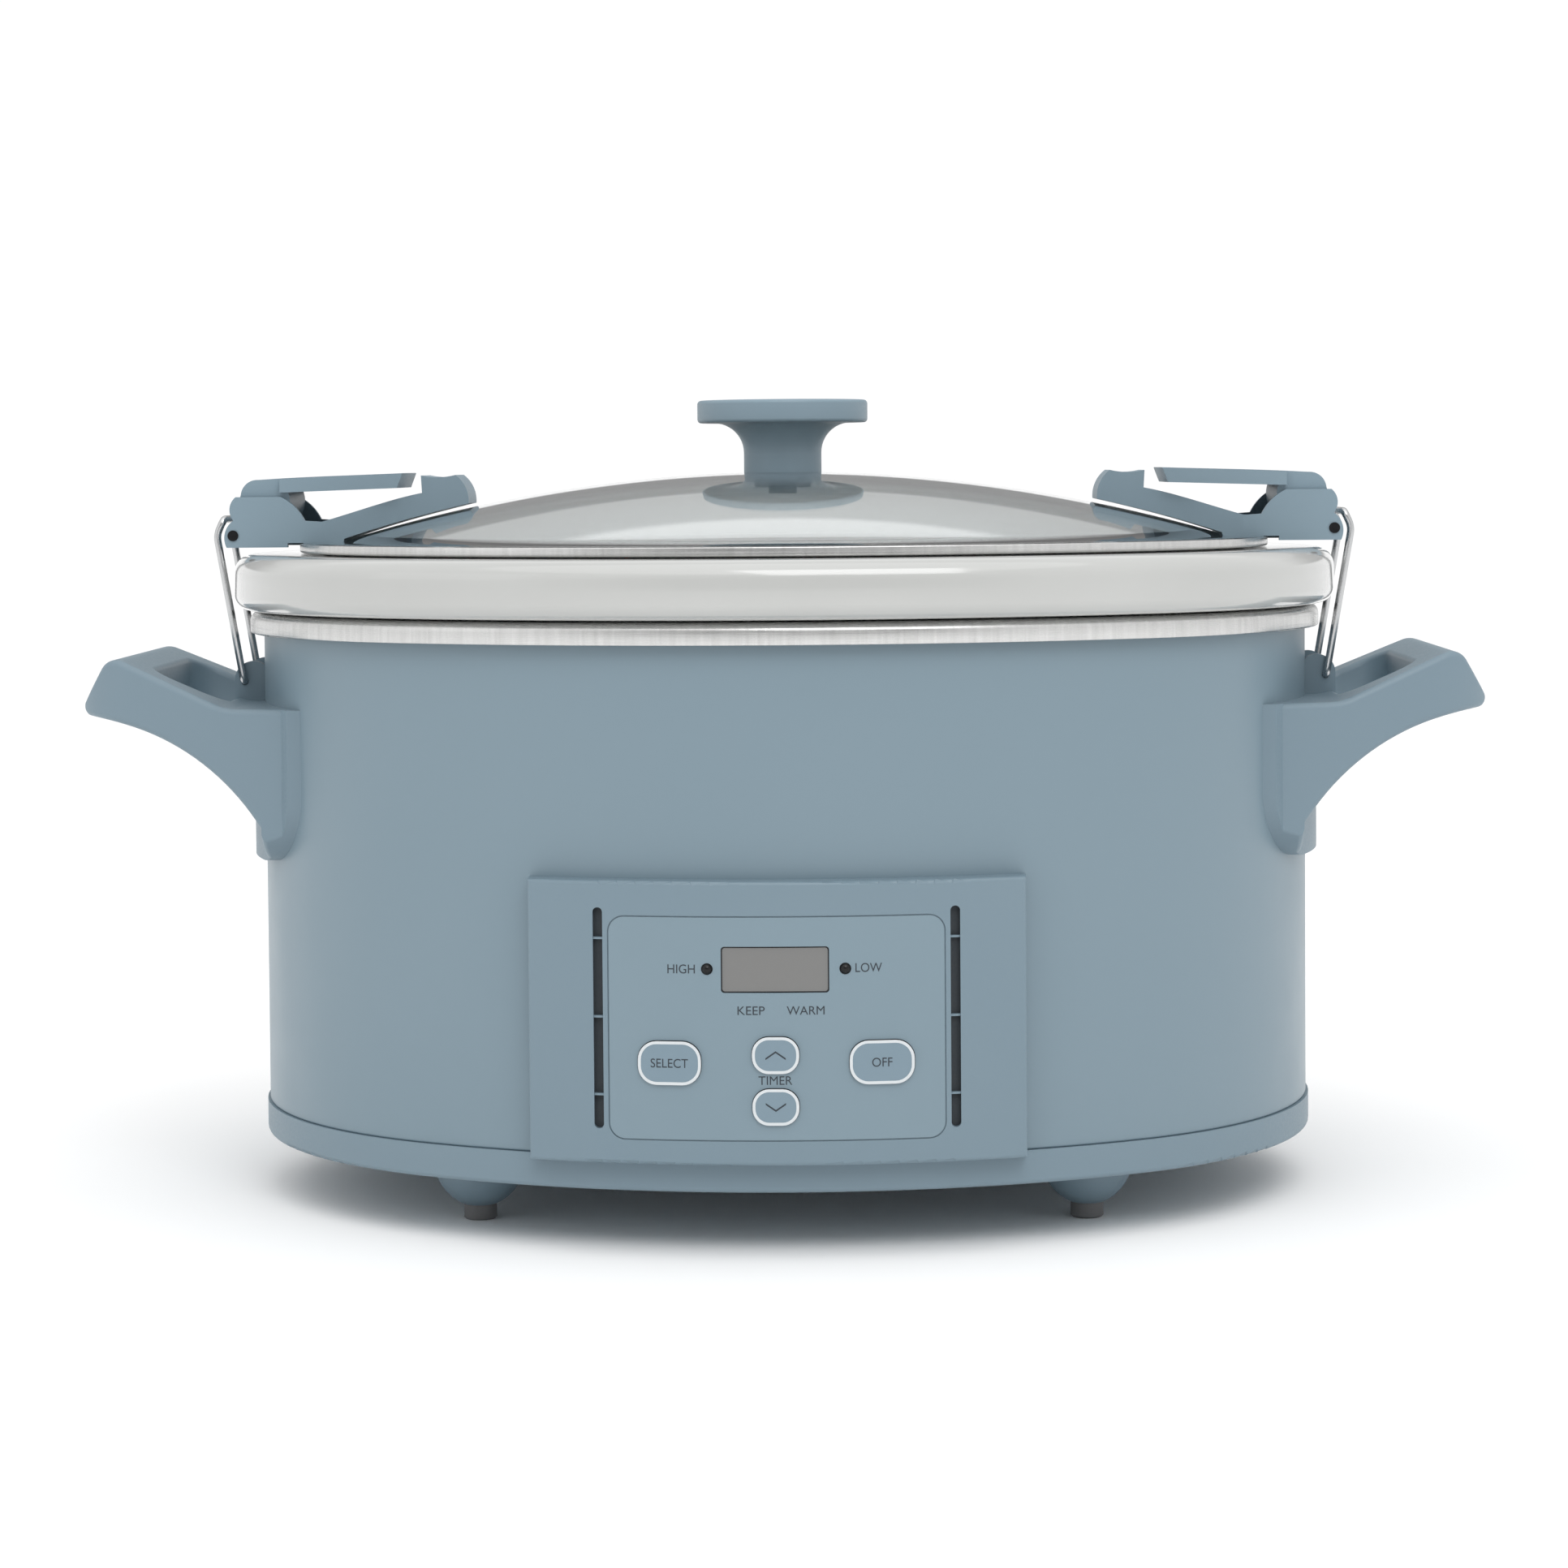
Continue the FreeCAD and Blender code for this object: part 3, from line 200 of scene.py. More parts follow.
def surface(name, tones, tone_grain, gloss, gloss_grain, reliefs=(), **inputs):
    """A material: its colour and its roughness each drift between two values with a grain, or
    hold the first value where the grain is None. Reliefs are (grain, depth in mm), the last on
    top; inputs are the shader's other constants, with underscores for spaces."""
    material = bpy.data.materials.new(name)
    material.use_nodes = True
    tree = material.node_tree
    tree.nodes.clear()
    place = add(tree, "ShaderNodeTexCoord").outputs["Object"]
    drawn = {}
    for pattern in [tone_grain, gloss_grain] + [relief[0] for relief in reliefs]:
        if pattern is None or pattern in drawn:
            continue
        size_mm, detail, rough, squash = pattern
        scaled = add(tree, "ShaderNodeMapping", links={"Vector": place}, inputs={"Scale": squash})
        drawn[pattern] = add(
            tree, "ShaderNodeTexNoise", links={"Vector": scaled.outputs["Vector"]},
            inputs={"Scale": 1.0 / (size_mm * MM), "Detail": detail, "Roughness": rough},
        ).outputs["Fac"]

    constants = {key.replace("_", " "): value for key, value in inputs.items()}
    links = {}
    if tone_grain is None:
        constants["Base Color"] = colour(tones[0])
    else:
        mix = add(tree, "ShaderNodeMix", data_type="RGBA", links={"Factor": drawn[tone_grain]})
        mix.inputs[6].default_value = colour(tones[0])
        mix.inputs[7].default_value = colour(tones[1])
        links["Base Color"] = mix.outputs[2]
    if gloss_grain is None:
        constants["Roughness"] = gloss[0]
    else:
        links["Roughness"] = add(
            tree, "ShaderNodeMapRange", links={"Value": drawn[gloss_grain]},
            inputs={"From Min": 0.3, "From Max": 0.7, "To Min": gloss[0], "To Max": gloss[1]},
        ).outputs["Result"]
    for pattern, depth_mm in reliefs:
        below = {"Normal": links["Normal"]} if "Normal" in links else {}
        links["Normal"] = add(
            tree, "ShaderNodeBump", links={"Height": drawn[pattern], **below},
            inputs={"Strength": 1.0, "Distance": depth_mm * MM},
        ).outputs["Normal"]
    shader = add(tree, "ShaderNodeBsdfPrincipled", links=links, inputs=constants)
    add(tree, "ShaderNodeOutputMaterial", links={"Surface": shader.outputs[0]})
    return material


# ------------------------------------------------------------------ materials

# Powder-coated steel, oven cured: satin, with a faint orange peel and slow tone drift.
enamel = surface(
    "baked_enamel", ("#728691", "#768994"), grain(90, 2), (0.36, 0.44), grain(30),
    [(grain(1.6, 2), 0.012)], IOR=1.5, Coat_Weight=0.12, Coat_Roughness=0.25)

# ABS from a spark-eroded mould: matt, with a fine even pebble that breaks the gloss. The pebble
# is drawn at 0.9 mm, coarser than the real 0.2 mm, so that it shows at all. One plastic, two
# painted copies: the base's is darker, as painted shade, and the lid's lighter, as painted light.
PEBBLE = grain(0.9, 2)
shaded_plastic = surface(
    "moulded_abs_painted_shade", ("#6E828E", "#728590"), grain(60, 2), (0.40, 0.50), PEBBLE,
    [(PEBBLE, 0.010)], IOR=1.53)
lit_plastic = surface(
    "moulded_abs_painted_light", ("#798E9A", "#7D919D"), grain(60, 2), (0.40, 0.50), PEBBLE,
    [(PEBBLE, 0.010)], IOR=1.53)

# Polycarbonate label film, matt hard-coated: a touch smoother than the moulding round it.
film = surface(
    "printed_film", ("#738792", "#768A95"), grain(40, 2), (0.34, 0.40), grain(8),
    [(grain(0.6, 1), 0.003)], IOR=1.58)

# Moulded silicone rubber: dry and soft to the eye, with a little sheen at grazing angles.
silicone_key = surface(
    "key_silicone", ("#768A96", "#798C98"), grain(12, 2), (0.50, 0.60), grain(0.7, 2),
    IOR=1.41, Sheen_Weight=0.08, Sheen_Roughness=0.5)

# Rolled 18/8 trim: fine level scratches from the rolls, and short upright polishing strokes
# that break reflections into faint bars. They are drawn 0.5 and 1.8 mm wide, coarser than real,
# so that they show.
SCRATCHES = grain(0.5, 3, 0.6, (0.02, 0.02, 1.0))
STROKES = grain(1.8, 3, 0.7, (1.0, 1.0, 0.05))
stainless = surface(
    "brushed_stainless", ("#B6B6B5", "#DEDEDD"), STROKES, (0.20, 0.34), SCRATCHES,
    [(SCRATCHES, 0.002), (STROKES, 0.020)], Metallic=1.0)

# Fired stoneware under a clear glossy glaze: off-white body tone, soft waves where it ran.
PINHOLES = grain(1.2, 2)
stoneware = surface(
    "glazed_stoneware", ("#AFB0AE", "#B6B7B5"), grain(45), (0.10, 0.16), PINHOLES,
    [(grain(18, 1), 0.10), (PINHOLES, 0.004)], IOR=1.56, Coat_Weight=1.0, Coat_Roughness=0.08)

# Clear pressed soda-lime glass: sharp reflections and a cool cast where it is thick.
glass = surface(
    "tempered_glass", ("#F2F6F6",), None, (0.0,), None, [(grain(60, 1), 0.05)],
    IOR=1.52, Transmission_Weight=1.0, Coat_Weight=0.6, Coat_Roughness=0.0, Coat_IOR=1.6)

# Spring steel wire, drawn through a die: bright, with fine marks along its run, drawn 0.3 mm
# wide, coarser than real.
DIE_MARKS = grain(0.3, 2, 0.6, (1.0, 1.0, 0.03))
wire = surface(
    "drawn_wire", ("#C2C3C4",), None, (0.16, 0.30), DIE_MARKS, [(DIE_MARKS, 0.004)], Metallic=1.0)

# Zinc-plated screws: dull silver with a slight cloudy bloom.
BLOOM = grain(2.0)
zinc = surface("zinc_plate", ("#A9ABAC", "#BCBEBF"), BLOOM, (0.30, 0.45), BLOOM, Metallic=1.0)

# Drawn aluminium liner, washed after pressing: pale, dull and faintly streaked upward.
STREAKS = grain(1.5, 3, 0.6, (1.0, 1.0, 0.05))
aluminium = surface(
    "spun_aluminium", ("#B9BABB", "#C8C9CA"), STREAKS, (0.34, 0.48), STREAKS,
    [(STREAKS, 0.008)], Metallic=1.0)

# Moulded nitrile rubber: charcoal, dry, with a dusty grain drawn at 0.8 mm, coarser than real.
# Its colour is painted light: mid grey, which lifts the feet out of the shade under the body.
DUST = grain(0.8)
rubber = surface(
    "rubber_painted_light", ("#606061", "#6C6C6D"), DUST, (0.55, 0.70), DUST, [(DUST, 0.02)], IOR=1.5)

# Extruded silicone seal: milky grey, soft edged.
MILK = grain(6, 2)
seal = surface(
    "clear_silicone", ("#BFC2C3", "#CBCDCE"), MILK, (0.35, 0.45), MILK,
    IOR=1.41, Subsurface_Weight=0.2, Subsurface_Scale=0.002)

# Unpowered liquid-crystal glass: flat warm grey under an anti-glare polariser.
HAZE = grain(5, 2)
lcd = surface("unlit_lcd", ("#747473", "#757574"), HAZE, (0.38, 0.40), HAZE, IOR=1.5)

# Moulded smoked acrylic: near black, with one small bright glint.
lens = surface("smoked_lens", ("#060607",), None, (0.18, 0.24), grain(3), IOR=1.4)

# Screen-printed inks: flat and matt, the white a little thin.
INK = grain(2)
white_ink = surface("white_ink", ("#C9CED1", "#D0D5D7"), INK, (0.45, 0.55), INK)
grey_ink = surface("grey_ink", ("#262E36", "#2D353D"), INK, (0.45, 0.55), INK)

# Aluminised steel of the heater band: warm grey, dulled by heat.
SCALE = grain(8)
heated_steel = surface(
    "aluminised_steel", ("#8E8A80", "#9C9990"), SCALE, (0.40, 0.55), SCALE, Metallic=1.0)

# Glass-epoxy board under solder mask: dark green with a soft gloss.
WEAVE = grain(4)
board_laminate = surface(
    "board_laminate", ("#2C5A40", "#33664A"), WEAVE, (0.35, 0.45), WEAVE)

# Blackened steel rivets: near black, with a dark metal shine.
OXIDE = grain(1)
black_oxide = surface(
    "black_oxide", ("#232426", "#2E2F31"), OXIDE, (0.35, 0.45), OXIDE, Metallic=1.0)

# Moulded glass-filled nylon: black and half matt. It also draws the painted shade round the display
# pane.
black_nylon_and_shade = surface("black_nylon_and_shade", ("#1B1B1D", "#232326"), OXIDE, (0.45, 0.60), OXIDE)

# Braided glass sleeve of the heater leads: cream, dry and slightly uneven.
BRAID = grain(0.8)
lead_sleeve = surface("lead_sleeve", ("#C9C2B2", "#D6D0C2"), BRAID, (0.60, 0.75), BRAID)

# Painted wire mesh behind the vents: dead matt. Its dark colour is partly painted shade, standing
# for the hollow behind the slots.
vent_mesh_and_shade = surface("vent_mesh_and_shade", ("#2B3034", "#363C41"), BRAID, (0.60, 0.80), BRAID)

# White-painted studio floor: flat white with no visible grain.
SWEEP = grain(400)
white_floor = surface("white_floor", ("#FAFAFA", "#FCFCFC"), SWEEP, (0.70, 0.80), SWEEP)

# The body's plastic takes the darker copy of the ABS, which is painted shade.
BY_SLOT = {
    "body_paint": enamel, "body_plastic": shaded_plastic, "overlay_film": film,
    # The feet take the rubber whose colour is painted light.
    "button_rubber": silicone_key, "foot_rubber": rubber,
    "trim_steel": stainless, "wire_steel": wire, "fastener_steel": zinc,
    "well_aluminium": aluminium, "heater_steel": heated_steel, "crock_glaze": stoneware,
    "lid_glass": glass, "seal_silicone": seal, "window_glass": lcd, "display_lcd": lcd,
    "led_lens": lens, "circuit_board": board_laminate, "component_black": black_nylon_and_shade,
    # The vent screens take the mesh whose dark is partly painted shade.
    "lead_insulation": lead_sleeve, "gland_black": black_nylon_and_shade, "screen_dark": vent_mesh_and_shade,
}

BY_NODE = {
    # The knob's washer is a real part, drawn in the rubber so that it gives the dark line at the
    # knob's foot, partly painted shade.
    "knob_washer": rubber, "left_latch_pins": black_oxide, "right_latch_pins": black_oxide,
    # The latches take the lighter copy of the ABS, which is painted light.
    "left_latch_frame": lit_plastic, "right_latch_frame": lit_plastic,
    "left_latch_lever": lit_plastic, "right_latch_lever": lit_plastic,
}

# Each CAD piece takes its finish. Its doubled corners are welded and its creases split, so that
# flat faces shade flat and round ones smooth.
for part in frame["record"]["subparts"]:
    node = nodes[part["node"]]
    finish = BY_NODE.get(part["node"], BY_SLOT[part["material_slot"]])
    for holder in node.material_slots:
        holder.material = finish
    if not node.material_slots:
        node.data.materials.append(finish)
    node.data.shade_smooth()
    node.modifiers.new("weld", "WELD").merge_threshold = CAD_WELD * MM
    node.modifiers.new("crease", "EDGE_SPLIT").split_angle = math.radians(CAD_CREASE)
    node.modifiers.new("faces_first", "WEIGHTED_NORMAL")


# ------------------------------------------------------------------ painted wrap and steel collar

def painted_wrap():
    """Sheet wrap with a turned-in hem at the bottom."""
    low = shell_low[2] / MM
    high = shell_high[2] / MM
    hem = 0.7
    sheet = 1.2
    section = arc(-hem, low + hem, hem, -90, 0)
    section += [(0, high - 1), (0, high), (-sheet, high), (-sheet, low)]
    wrap = skin("painted_wrap", oval_rings(section), loop=True)
    dress(wrap, enamel, "body_paint", "base", "outer_shell")


def wrap_seam():
    """Lapped joint of the wrap, down the middle of the back."""
    low = shell_low[2] / MM + 1
    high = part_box("top_collar")[0][2] / MM
    half = 5.0
    edge = 0.05
    lap = 0.45
    bm = bmesh.new()
    rows = []
    for i in range(7):
        x = half * (i - 3) / 3
        out = edge if i in (0, 6) else lap
        y = -front_y(x, out)
        rows.append([bm.verts.new(Vector((x, y, z)) * MM) for z in (low, (low + high) / 2, high)])
    for near, far in zip(rows, rows[1:]):
        for k in range(2):
            bm.faces.new((near[k], far[k], far[k + 1], near[k + 1]))
    seam = mesh_piece("wrap_seam", bm)
    dress(seam, enamel, "body_paint", "base")


def rolled_collar():
    """Steel trim: a hemmed bottom edge, a straight band and a rolled shoulder."""
    low, high = (corner[2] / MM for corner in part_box("top_collar"))
    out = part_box("top_collar")[1][0] / MM - BODY_HALF_X
    roll = 3.0
    sheet = 1.0
    section = arc(out - sheet / 2, low + sheet / 2, sheet / 2, -180, 0, 8)
    section += arc(out - roll, high - roll, roll, 0, 90, 10)
    section += [(WELL_OUT, high), (WELL_OUT, high - 0.8)]
    section += arc(out - roll, high - roll, roll - sheet, 90, 0, 10)
    collar = skin("rolled_collar", oval_rings(section), loop=True)
    dress(collar, stainless, "trim_steel", "base", "top_collar")


# ------------------------------------------------------------------ stoneware crock

def stoneware_crock():
    """Pot with a rolled rim, a bare foot ring and a rounded floor."""
    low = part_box("crock")[0][2] / MM
    floor = low + 9.0
    foot = 1.2
    wall_out, wall_in = -10.5, -18.5
    heel, bowl, neck, lip = 16.0, 18.0, 2.0, 3.0
    rim_low = 183.5
    lower_roll = 4.8
    upper_roll = 6.0
    section = [(-34, low + foot), (-32, low + foot), (-31, low)]
    section += arc(wall_out - heel, low + heel, heel, -90, 0)
    section += [(wall_out, rim_low - neck)]
    section += arc(wall_out + neck, rim_low - neck, neck, 180, 90, 4)
    section += arc(RIM_PROUD - lower_roll, rim_low + lower_roll, lower_roll, -90, 0, 8)
    section += arc(RIM_PROUD - upper_roll, RIM_TOP - upper_roll, upper_roll, 0, 90, 10)
    section += arc(wall_in + lip, RIM_TOP - lip, lip, 90, 180, 6)
    section += arc(wall_in - bowl, floor + bowl, bowl, 0, -90, 8)
    pot = skin("stoneware_crock", oval_rings(section), caps=True)
    dress(pot, stoneware, "crock_glaze", "crock", "crock")


# ------------------------------------------------------------------ lid

def glass_lid():
    """Pressed glass: a shallow paraboloid dome that runs out into a flat flange."""
    flange_thick, dome_thick = 2.5, 3.5
    flange_start = -22.0
    soft = 0.6
    under = FLANGE_TOP - flange_thick
    top = lid_high[2] / MM
    edge = lid_high[0] / MM - BODY_HALF_X
    spread = [0.024, 0.06] + [i / 24 for i in range(3, 25)]
    outer = []
    for s in spread:
        z = FLANGE_TOP + (top - FLANGE_TOP) * (1 - s * s)
        outer.append([ellipse_point(t, DOME_FOOT[0] * s, DOME_FOOT[1] * s, z) for t in turns()])
    flange = oval_rings(
        [(flange_start, FLANGE_TOP)] + arc(edge - soft, FLANGE_TOP - soft, soft, 90, 0, 4)
        + arc(edge - soft, under + soft, soft, 0, -90, 4)
    )
    inner = []
    for s in reversed(spread):
        z = under + (top - dome_thick - under) * (1 - s * s)
        inner.append([ellipse_point(t, DOME_INNER[0] * s, DOME_INNER[1] * s, z) for t in turns()])
    lid = skin("glass_lid", outer + flange + inner, loop=True)
    dress(lid, glass, "lid_glass", "lid", "lid_glass")


def edge_band():
    """Folded steel band round the glass, with a rolled upper lip."""
    low, high = (corner[2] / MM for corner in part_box("lid_rim"))
    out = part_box("lid_rim")[1][0] / MM - BODY_HALF_X
    fold, lip, sheet, width = 0.8, 0.3, 0.6, 2.0
    section = arc(out - fold, low + fold, fold, -90, 0, 5)
    section += arc(out - lip, high - lip, lip, 0, 180, 6)
    section += [(out - sheet, low + sheet), (out - width, low + sheet), (out - width, low)]
    band = skin("edge_band", oval_rings(section), loop=True)
    dress(band, stainless, "trim_steel", "lid", "lid_rim")


def mushroom_knob():
    """Turned knob: a disc with a soft edge on a stem with a hollow curve."""
    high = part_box("knob")[1][2] / MM
    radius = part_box("knob")[1][0] / MM
    disc = high - 7.2
    stem = 12.4
    stem_low = 225.4
    cove = 9.5
    soft = 1.2
    section = [(stem, stem_low), (stem, disc - cove)]
    section += arc(stem + cove, disc - cove, cove, 180, 90, 12)
    section += arc(radius - soft, disc + soft, soft, -90, 0, 5)
    section += arc(radius - soft, high - soft, soft, 0, 90, 5)
    section += [(radius - 3.5, high), (radius * 0.5, high)]
    knob = skin("mushroom_knob", round_rings(section), caps=True)
    # The knob takes the lighter copy of the ABS, which is painted light.
    dress(knob, lit_plastic, "body_plastic", "lid", "knob")


# ------------------------------------------------------------------ bent wire bails

def wire_bail(side, name):
    """One bent wire: turned-in ends, two legs and a crossbar, with round bends."""
    reach = 9.6 * MM
    radius = 1.15 * MM
    bend = 2.2 * MM
    x = side * 171.5 * MM
    z = 160.4 * MM
    shoulder = (side * 179.5 * MM, 207.0 * MM)
    bar = (side * 177.2 * MM, 212.0 * MM)
    y = 15.0 * MM
    corners = [
        Vector((x, -reach, z)), Vector((x, -y, z)),
        Vector((shoulder[0], -y, shoulder[1])), Vector((bar[0], -y, bar[1])),
        Vector((bar[0], y, bar[1])), Vector((shoulder[0], y, shoulder[1])),
        Vector((x, y, z)), Vector((x, reach, z)),
    ]
    path = [corners[0]]
    for before, corner, after in zip(corners, corners[1:], corners[2:]):
        cut = min(bend, (corner - before).length * 0.45, (after - corner).length * 0.45)
        start = corner + (before - corner).normalized() * cut
        end = corner + (after - corner).normalized() * cut
        for i in range(7):
            t = i / 6
            path.append(start * (1 - t) ** 2 + corner * 2 * t * (1 - t) + end * t * t)
    path.append(corners[-1])
    rings = []
    for i, point in enumerate(path):
        ahead = path[min(i + 1, len(path) - 1)] - path[max(i - 1, 0)]
        across = Vector((1, 0, 0)) if abs(ahead.normalized().x) < 0.9 else Vector((0, 0, 1))
        u = ahead.cross(across).normalized()
        v = ahead.cross(u).normalized()
        rings.append([point + (u * math.cos(a) + v * math.sin(a)) * radius
                      for a in (2 * math.pi * k / 16 for k in range(16))])
    bail = skin(name + "_wire", rings, caps=True)
    dress(bail, wire, "wire_steel", name, name)


# ------------------------------------------------------------------ printing on the panel

def wrapped(name, mesh, cx, cz, proud, material, body, slot):
    """Lays a flat mesh in mm, X right and Y up, on the curved panel round (cx, cz)."""
    bm = bmesh.new()
    bm.from_mesh(mesh)
    bpy.data.meshes.remove(mesh)
    for vert in bm.verts:
        x = cx + vert.co.x
        z = cz + vert.co.y
        vert.co = Vector((x, front_y(x, proud) - PRINT_LIFT, z)) * MM
    piece = mesh_piece(name, bm)
    dress(piece, material, slot, body)
    return piece


def lettering(name, text, cx, cz, width, cap, body="base", proud=BEZEL_PROUD):
    """A word, width mm across and cap mm tall."""
    curve = bpy.data.curves.new(name, "FONT")
    curve.body = text
    curve.resolution_u = 6
    holder = bpy.data.objects.new(name, curve)
    bpy.context.scene.collection.objects.link(holder)
    bpy.context.view_layer.update()
    graph = bpy.context.evaluated_depsgraph_get()
    mesh = bpy.data.meshes.new_from_object(holder.evaluated_get(graph))
    bpy.data.objects.remove(holder)
    xs = [v.co.x for v in mesh.vertices]
    ys = [v.co.y for v in mesh.vertices]
    sx = width / (max(xs) - min(xs))
    sy = cap / (max(ys) - min(ys))
    mx = (max(xs) + min(xs)) / 2
    my = (max(ys) + min(ys)) / 2
    for v in mesh.vertices:
        v.co = Vector(((v.co.x - mx) * sx, (v.co.y - my) * sy, 0))
    wrapped("print_" + name, mesh, cx, cz, proud, grey_ink, body, "overlay_film")


def rounded_outline(width, height, radius):
    """Points round a rectangle with round corners."""
    points = []
    for right, up, start in ((1, 1, 0), (-1, 1, 90), (-1, -1, 180), (1, -1, 270)):
        cu = right * (width / 2 - radius)
        cw = up * (height / 2 - radius)
        points += arc(cu, cw, radius, start, start + 90, 8)
    return points


def strip(inner, outer, closed=True):
    """A flat band between two outlines with as many points each."""
    bm = bmesh.new()
    near = [bm.verts.new((u, w, 0)) for u, w in inner]
    far = [bm.verts.new((u, w, 0)) for u, w in outer]
    count = len(near) if closed else len(near) - 1
    for i in range(count):
        j = (i + 1) % len(near)
        bm.faces.new((near[i], far[i], far[j], near[j]))
    mesh = bpy.data.meshes.new("strip")
    bm.to_mesh(mesh)
    bm.free()
    return mesh


def key_ring(key, body, radius):
    """White line printed round a key's edge, a hair wider than the key."""
    low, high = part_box(key)
    flange = 1.4
    width = (high[0] - low[0]) / MM - flange
    height = (high[2] - low[2]) / MM - flange
    cx = (high[0] + low[0]) / 2 / MM
    cz = (high[2] + low[2]) / 2 / MM
    edge = -0.2
    line = 0.85
    outer = rounded_outline(width - 2 * edge, height - 2 * edge, radius - edge)
    both = 2 * (edge + line)
    inner = rounded_outline(width - both, height - both, radius - edge - line)
    ring = strip(inner, outer)
    wrapped("ring_" + key, ring, cx, cz, KEY_PROUD, white_ink, body, "button_rubber")
    return cx, cz


def chevron(name, cx, cz, way, body):
    """An arrow head, up for way 1 and down for -1."""
    half = 2.9
    rise = 1.0 * way
    line = 0.27
    centre = [(-half, -rise), (0, rise), (half, -rise)]
    low = [(u, w - line) for u, w in centre]
    high = [(u, w + line) for u, w in centre]
    mark = strip(low, high, closed=False)
    wrapped(name, mark, cx, cz, KEY_PROUD, grey_ink, body, "button_rubber")


def display_pane():
    """Flush pane over the display, in upright slices that bend with the panel, and a dark ring round
    it: painted shade of its recess.
    """
    cx, cz = -0.3, 83.8
    width, height = 30.2, 12.5
    radius, line, sunk = 0.8, 0.35, 0.5
    outer = rounded_outline(width + 2 * line, height + 2 * line, radius + line)
    inner = rounded_outline(width, height, radius)
    proud = BEZEL_PROUD - sunk
    ring = strip(inner, outer)
    # A thin dark ring round the pane: painted shade where the pane sits in its recess.
    wrapped("display_shade_ring", ring, cx, cz, proud, black_nylon_and_shade, "base", "component_black")
    bm = bmesh.new()
    slices = 40
    low = []
    high = []
    for i in range(slices + 1):
        u = -width / 2 * math.cos(math.pi * i / slices)
        past = min(radius, max(0.0, abs(u) - (width / 2 - radius)))
        w = height / 2 - radius + math.sqrt(radius ** 2 - past ** 2)
        low.append(bm.verts.new((u, -w, 0)))
        high.append(bm.verts.new((u, w, 0)))
    for i in range(slices):
        bm.faces.new((low[i], low[i + 1], high[i + 1], high[i]))
    mesh = bpy.data.meshes.new("pane")
    bm.to_mesh(mesh)
    bm.free()
    pane = wrapped("display_pane", mesh, cx, cz, proud, lcd, "base", "window_glass")
    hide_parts("display_window")


def panel_printing():
    """Words on the film and keys, a ring round each key, and the two arrow heads."""
    cap = 2.6
    small = 2.45
    lettering("high", "HIGH", -27.2, 84.0, 7.9, cap)
    lettering("low", "LOW", 26.5, 84.2, 7.6, cap)
    lettering("keep", "KEEP", -7.2, 72.1, 7.8, small)
    lettering("warm", "WARM", 8.4, 72.1, 10.8, small)
    lettering("timer", "TIMER", -0.4, 52.0, 9.7, small)
    cx, cz = key_ring("select_button", "select_key", 5.2)
    lettering("select", "SELECT", cx, cz, 10.8, cap, "select_key", KEY_PROUD)
    cx, cz = key_ring("off_button", "off_key", 5.2)
    lettering("off", "OFF", cx, cz, 5.8, cap, "off_key", KEY_PROUD)
    cx, cz = key_ring("up_button", "up_key", 4.6)
    chevron("chevron_up", cx, cz, 1, "up_key")
    cx, cz = key_ring("down_button", "down_key", 4.6)
    chevron("chevron_down", cx, cz, -1, "down_key")


# ------------------------------------------------------------------ studio

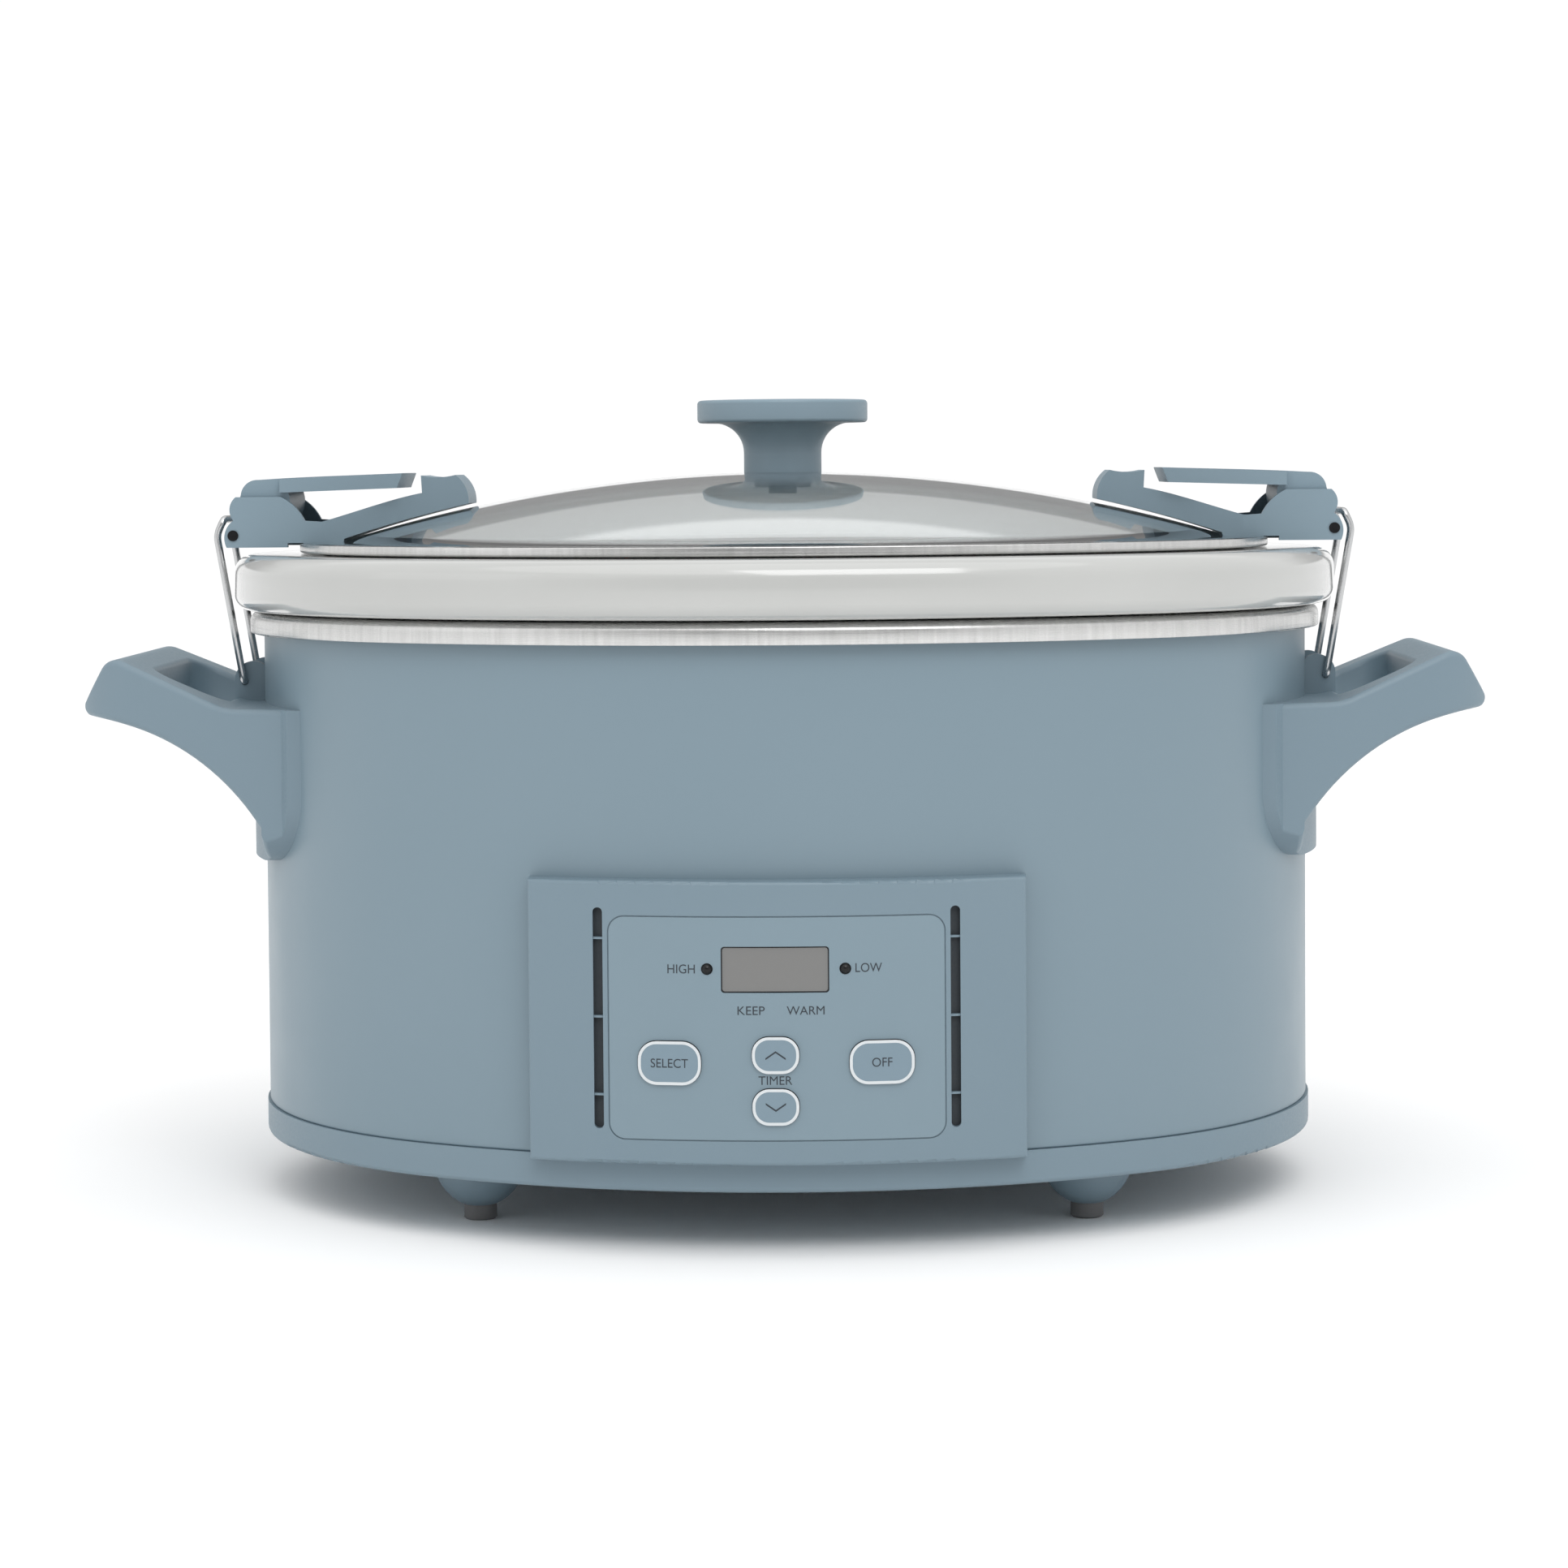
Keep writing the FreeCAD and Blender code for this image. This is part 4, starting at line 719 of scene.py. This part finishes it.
def studio():
    """White floor and surroundings. Behind the cooker a grey belt runs between a white foot and a
    bright ceiling, and draws the edge of the glass. A dim patch in front greys the steel."""
    bm = bmesh.new()
    half = 9.0
    corners = [(-half, -half), (half, -half), (half, half), (-half, half)]
    bm.faces.new([bm.verts.new((x, y, 0)) for x, y in corners])
    floor = mesh_piece("studio_floor", bm)
    floor.data.materials.append(white_floor)
    world = bpy.data.worlds.new("studio_white")
    world.use_nodes = True
    tree = world.node_tree
    tree.nodes.clear()
    way = add(tree, "ShaderNodeTexCoord").outputs["Generated"]
    way = add(tree, "ShaderNodeSeparateXYZ", links={"Vector": way}).outputs
    belt = add(tree, "ShaderNodeValToRGB", links={"Fac": way["Z"]})
    stops = belt.color_ramp.elements
    stops[0].position, stops[0].color = 0.14, (1.02, 1.02, 1.02, 1)
    stops[1].position, stops[1].color = 0.62, (1.2, 1.2, 1.2, 1)
    for position, grey in ((0.17, 0.33), (0.40, 0.33), (0.42, 0.62), (0.60, 0.64)):
        stops.new(position).color = (grey, grey, grey, 1)
    behind = add(
        tree, "ShaderNodeMapRange", links={"Value": way["Y"]},
        inputs={"From Min": 0.5, "From Max": 0.75, "To Min": 0.0, "To Max": 1.0},
    ).outputs["Result"]
    front = add(
        tree, "ShaderNodeMapRange", links={"Value": way["Y"]},
        inputs={"From Min": -0.97, "From Max": -0.75, "To Min": 0.4, "To Max": 1.0},
    ).outputs["Result"]
    glow = add(tree, "ShaderNodeMix", data_type="RGBA", links={"Factor": behind})
    glow.inputs[6].default_value = (1, 1, 1, 1)
    tree.links.new(belt.outputs["Color"], glow.inputs[7])
    sky = add(tree, "ShaderNodeBackground", links={"Color": glow.outputs[2], "Strength": front})
    add(tree, "ShaderNodeOutputWorld", links={"Surface": sky.outputs["Background"]})
    bpy.context.scene.world = world

    # A soft key high in front, a weak fill from the left, and a wide soft sun that whitens the
    # floor and the upward faces.
    aim = Vector((0, 0, 0.12))
    for name, place, size, power in (
        ("key", (0.4, -1.6, 1.7), 1.2, 12.0),
        ("fill", (-1.8, -1.1, 0.9), 1.2, 1.0),
    ):
        light = bpy.data.lights.new(name, "AREA")
        light.size = size
        light.energy = power
        holder = bpy.data.objects.new(name, light)
        bpy.context.scene.collection.objects.link(holder)
        holder.location = place
        holder.rotation_mode = "QUATERNION"
        holder.rotation_quaternion = (aim - Vector(place)).to_track_quat("-Z", "Y")
    light = bpy.data.lights.new("ceiling", "SUN")
    light.energy = 0.6
    light.angle = math.radians(70)
    holder = bpy.data.objects.new("ceiling", light)
    bpy.context.scene.collection.objects.link(holder)
    holder.rotation_euler = (math.radians(20), 0, 0)
    bpy.context.scene.view_settings.view_transform = "Standard"


def camera():
    """A long lens level with the foot of the knob, set slightly to the cooker's right."""
    distance = 1.2
    height = 0.228
    azimuth = math.radians(1.3)
    pitch = math.radians(2.44)
    roll = math.radians(-0.45)
    data = bpy.data.cameras.new("camera")
    data.lens = 86.0
    data.sensor_width = 36.0
    data.shift_y = -0.102
    eye = bpy.data.objects.new("camera", data)
    bpy.context.scene.collection.objects.link(eye)
    turn = Matrix.Rotation(azimuth, 4, "Z") @ Matrix.Rotation(math.radians(90) - pitch, 4, "X")
    turn = turn @ Matrix.Rotation(roll, 4, "Z")
    place = Vector((distance * math.sin(azimuth), -distance * math.cos(azimuth), height))
    eye.matrix_world = Matrix.Translation(place) @ turn
    bpy.context.scene.camera = eye


camera()
studio()
painted_wrap()
wrap_seam()
rolled_collar()
stoneware_crock()
glass_lid()
edge_band()
mushroom_knob()
wire_bail(-1, "left_bail")
wire_bail(1, "right_bail")
display_pane()
panel_printing()
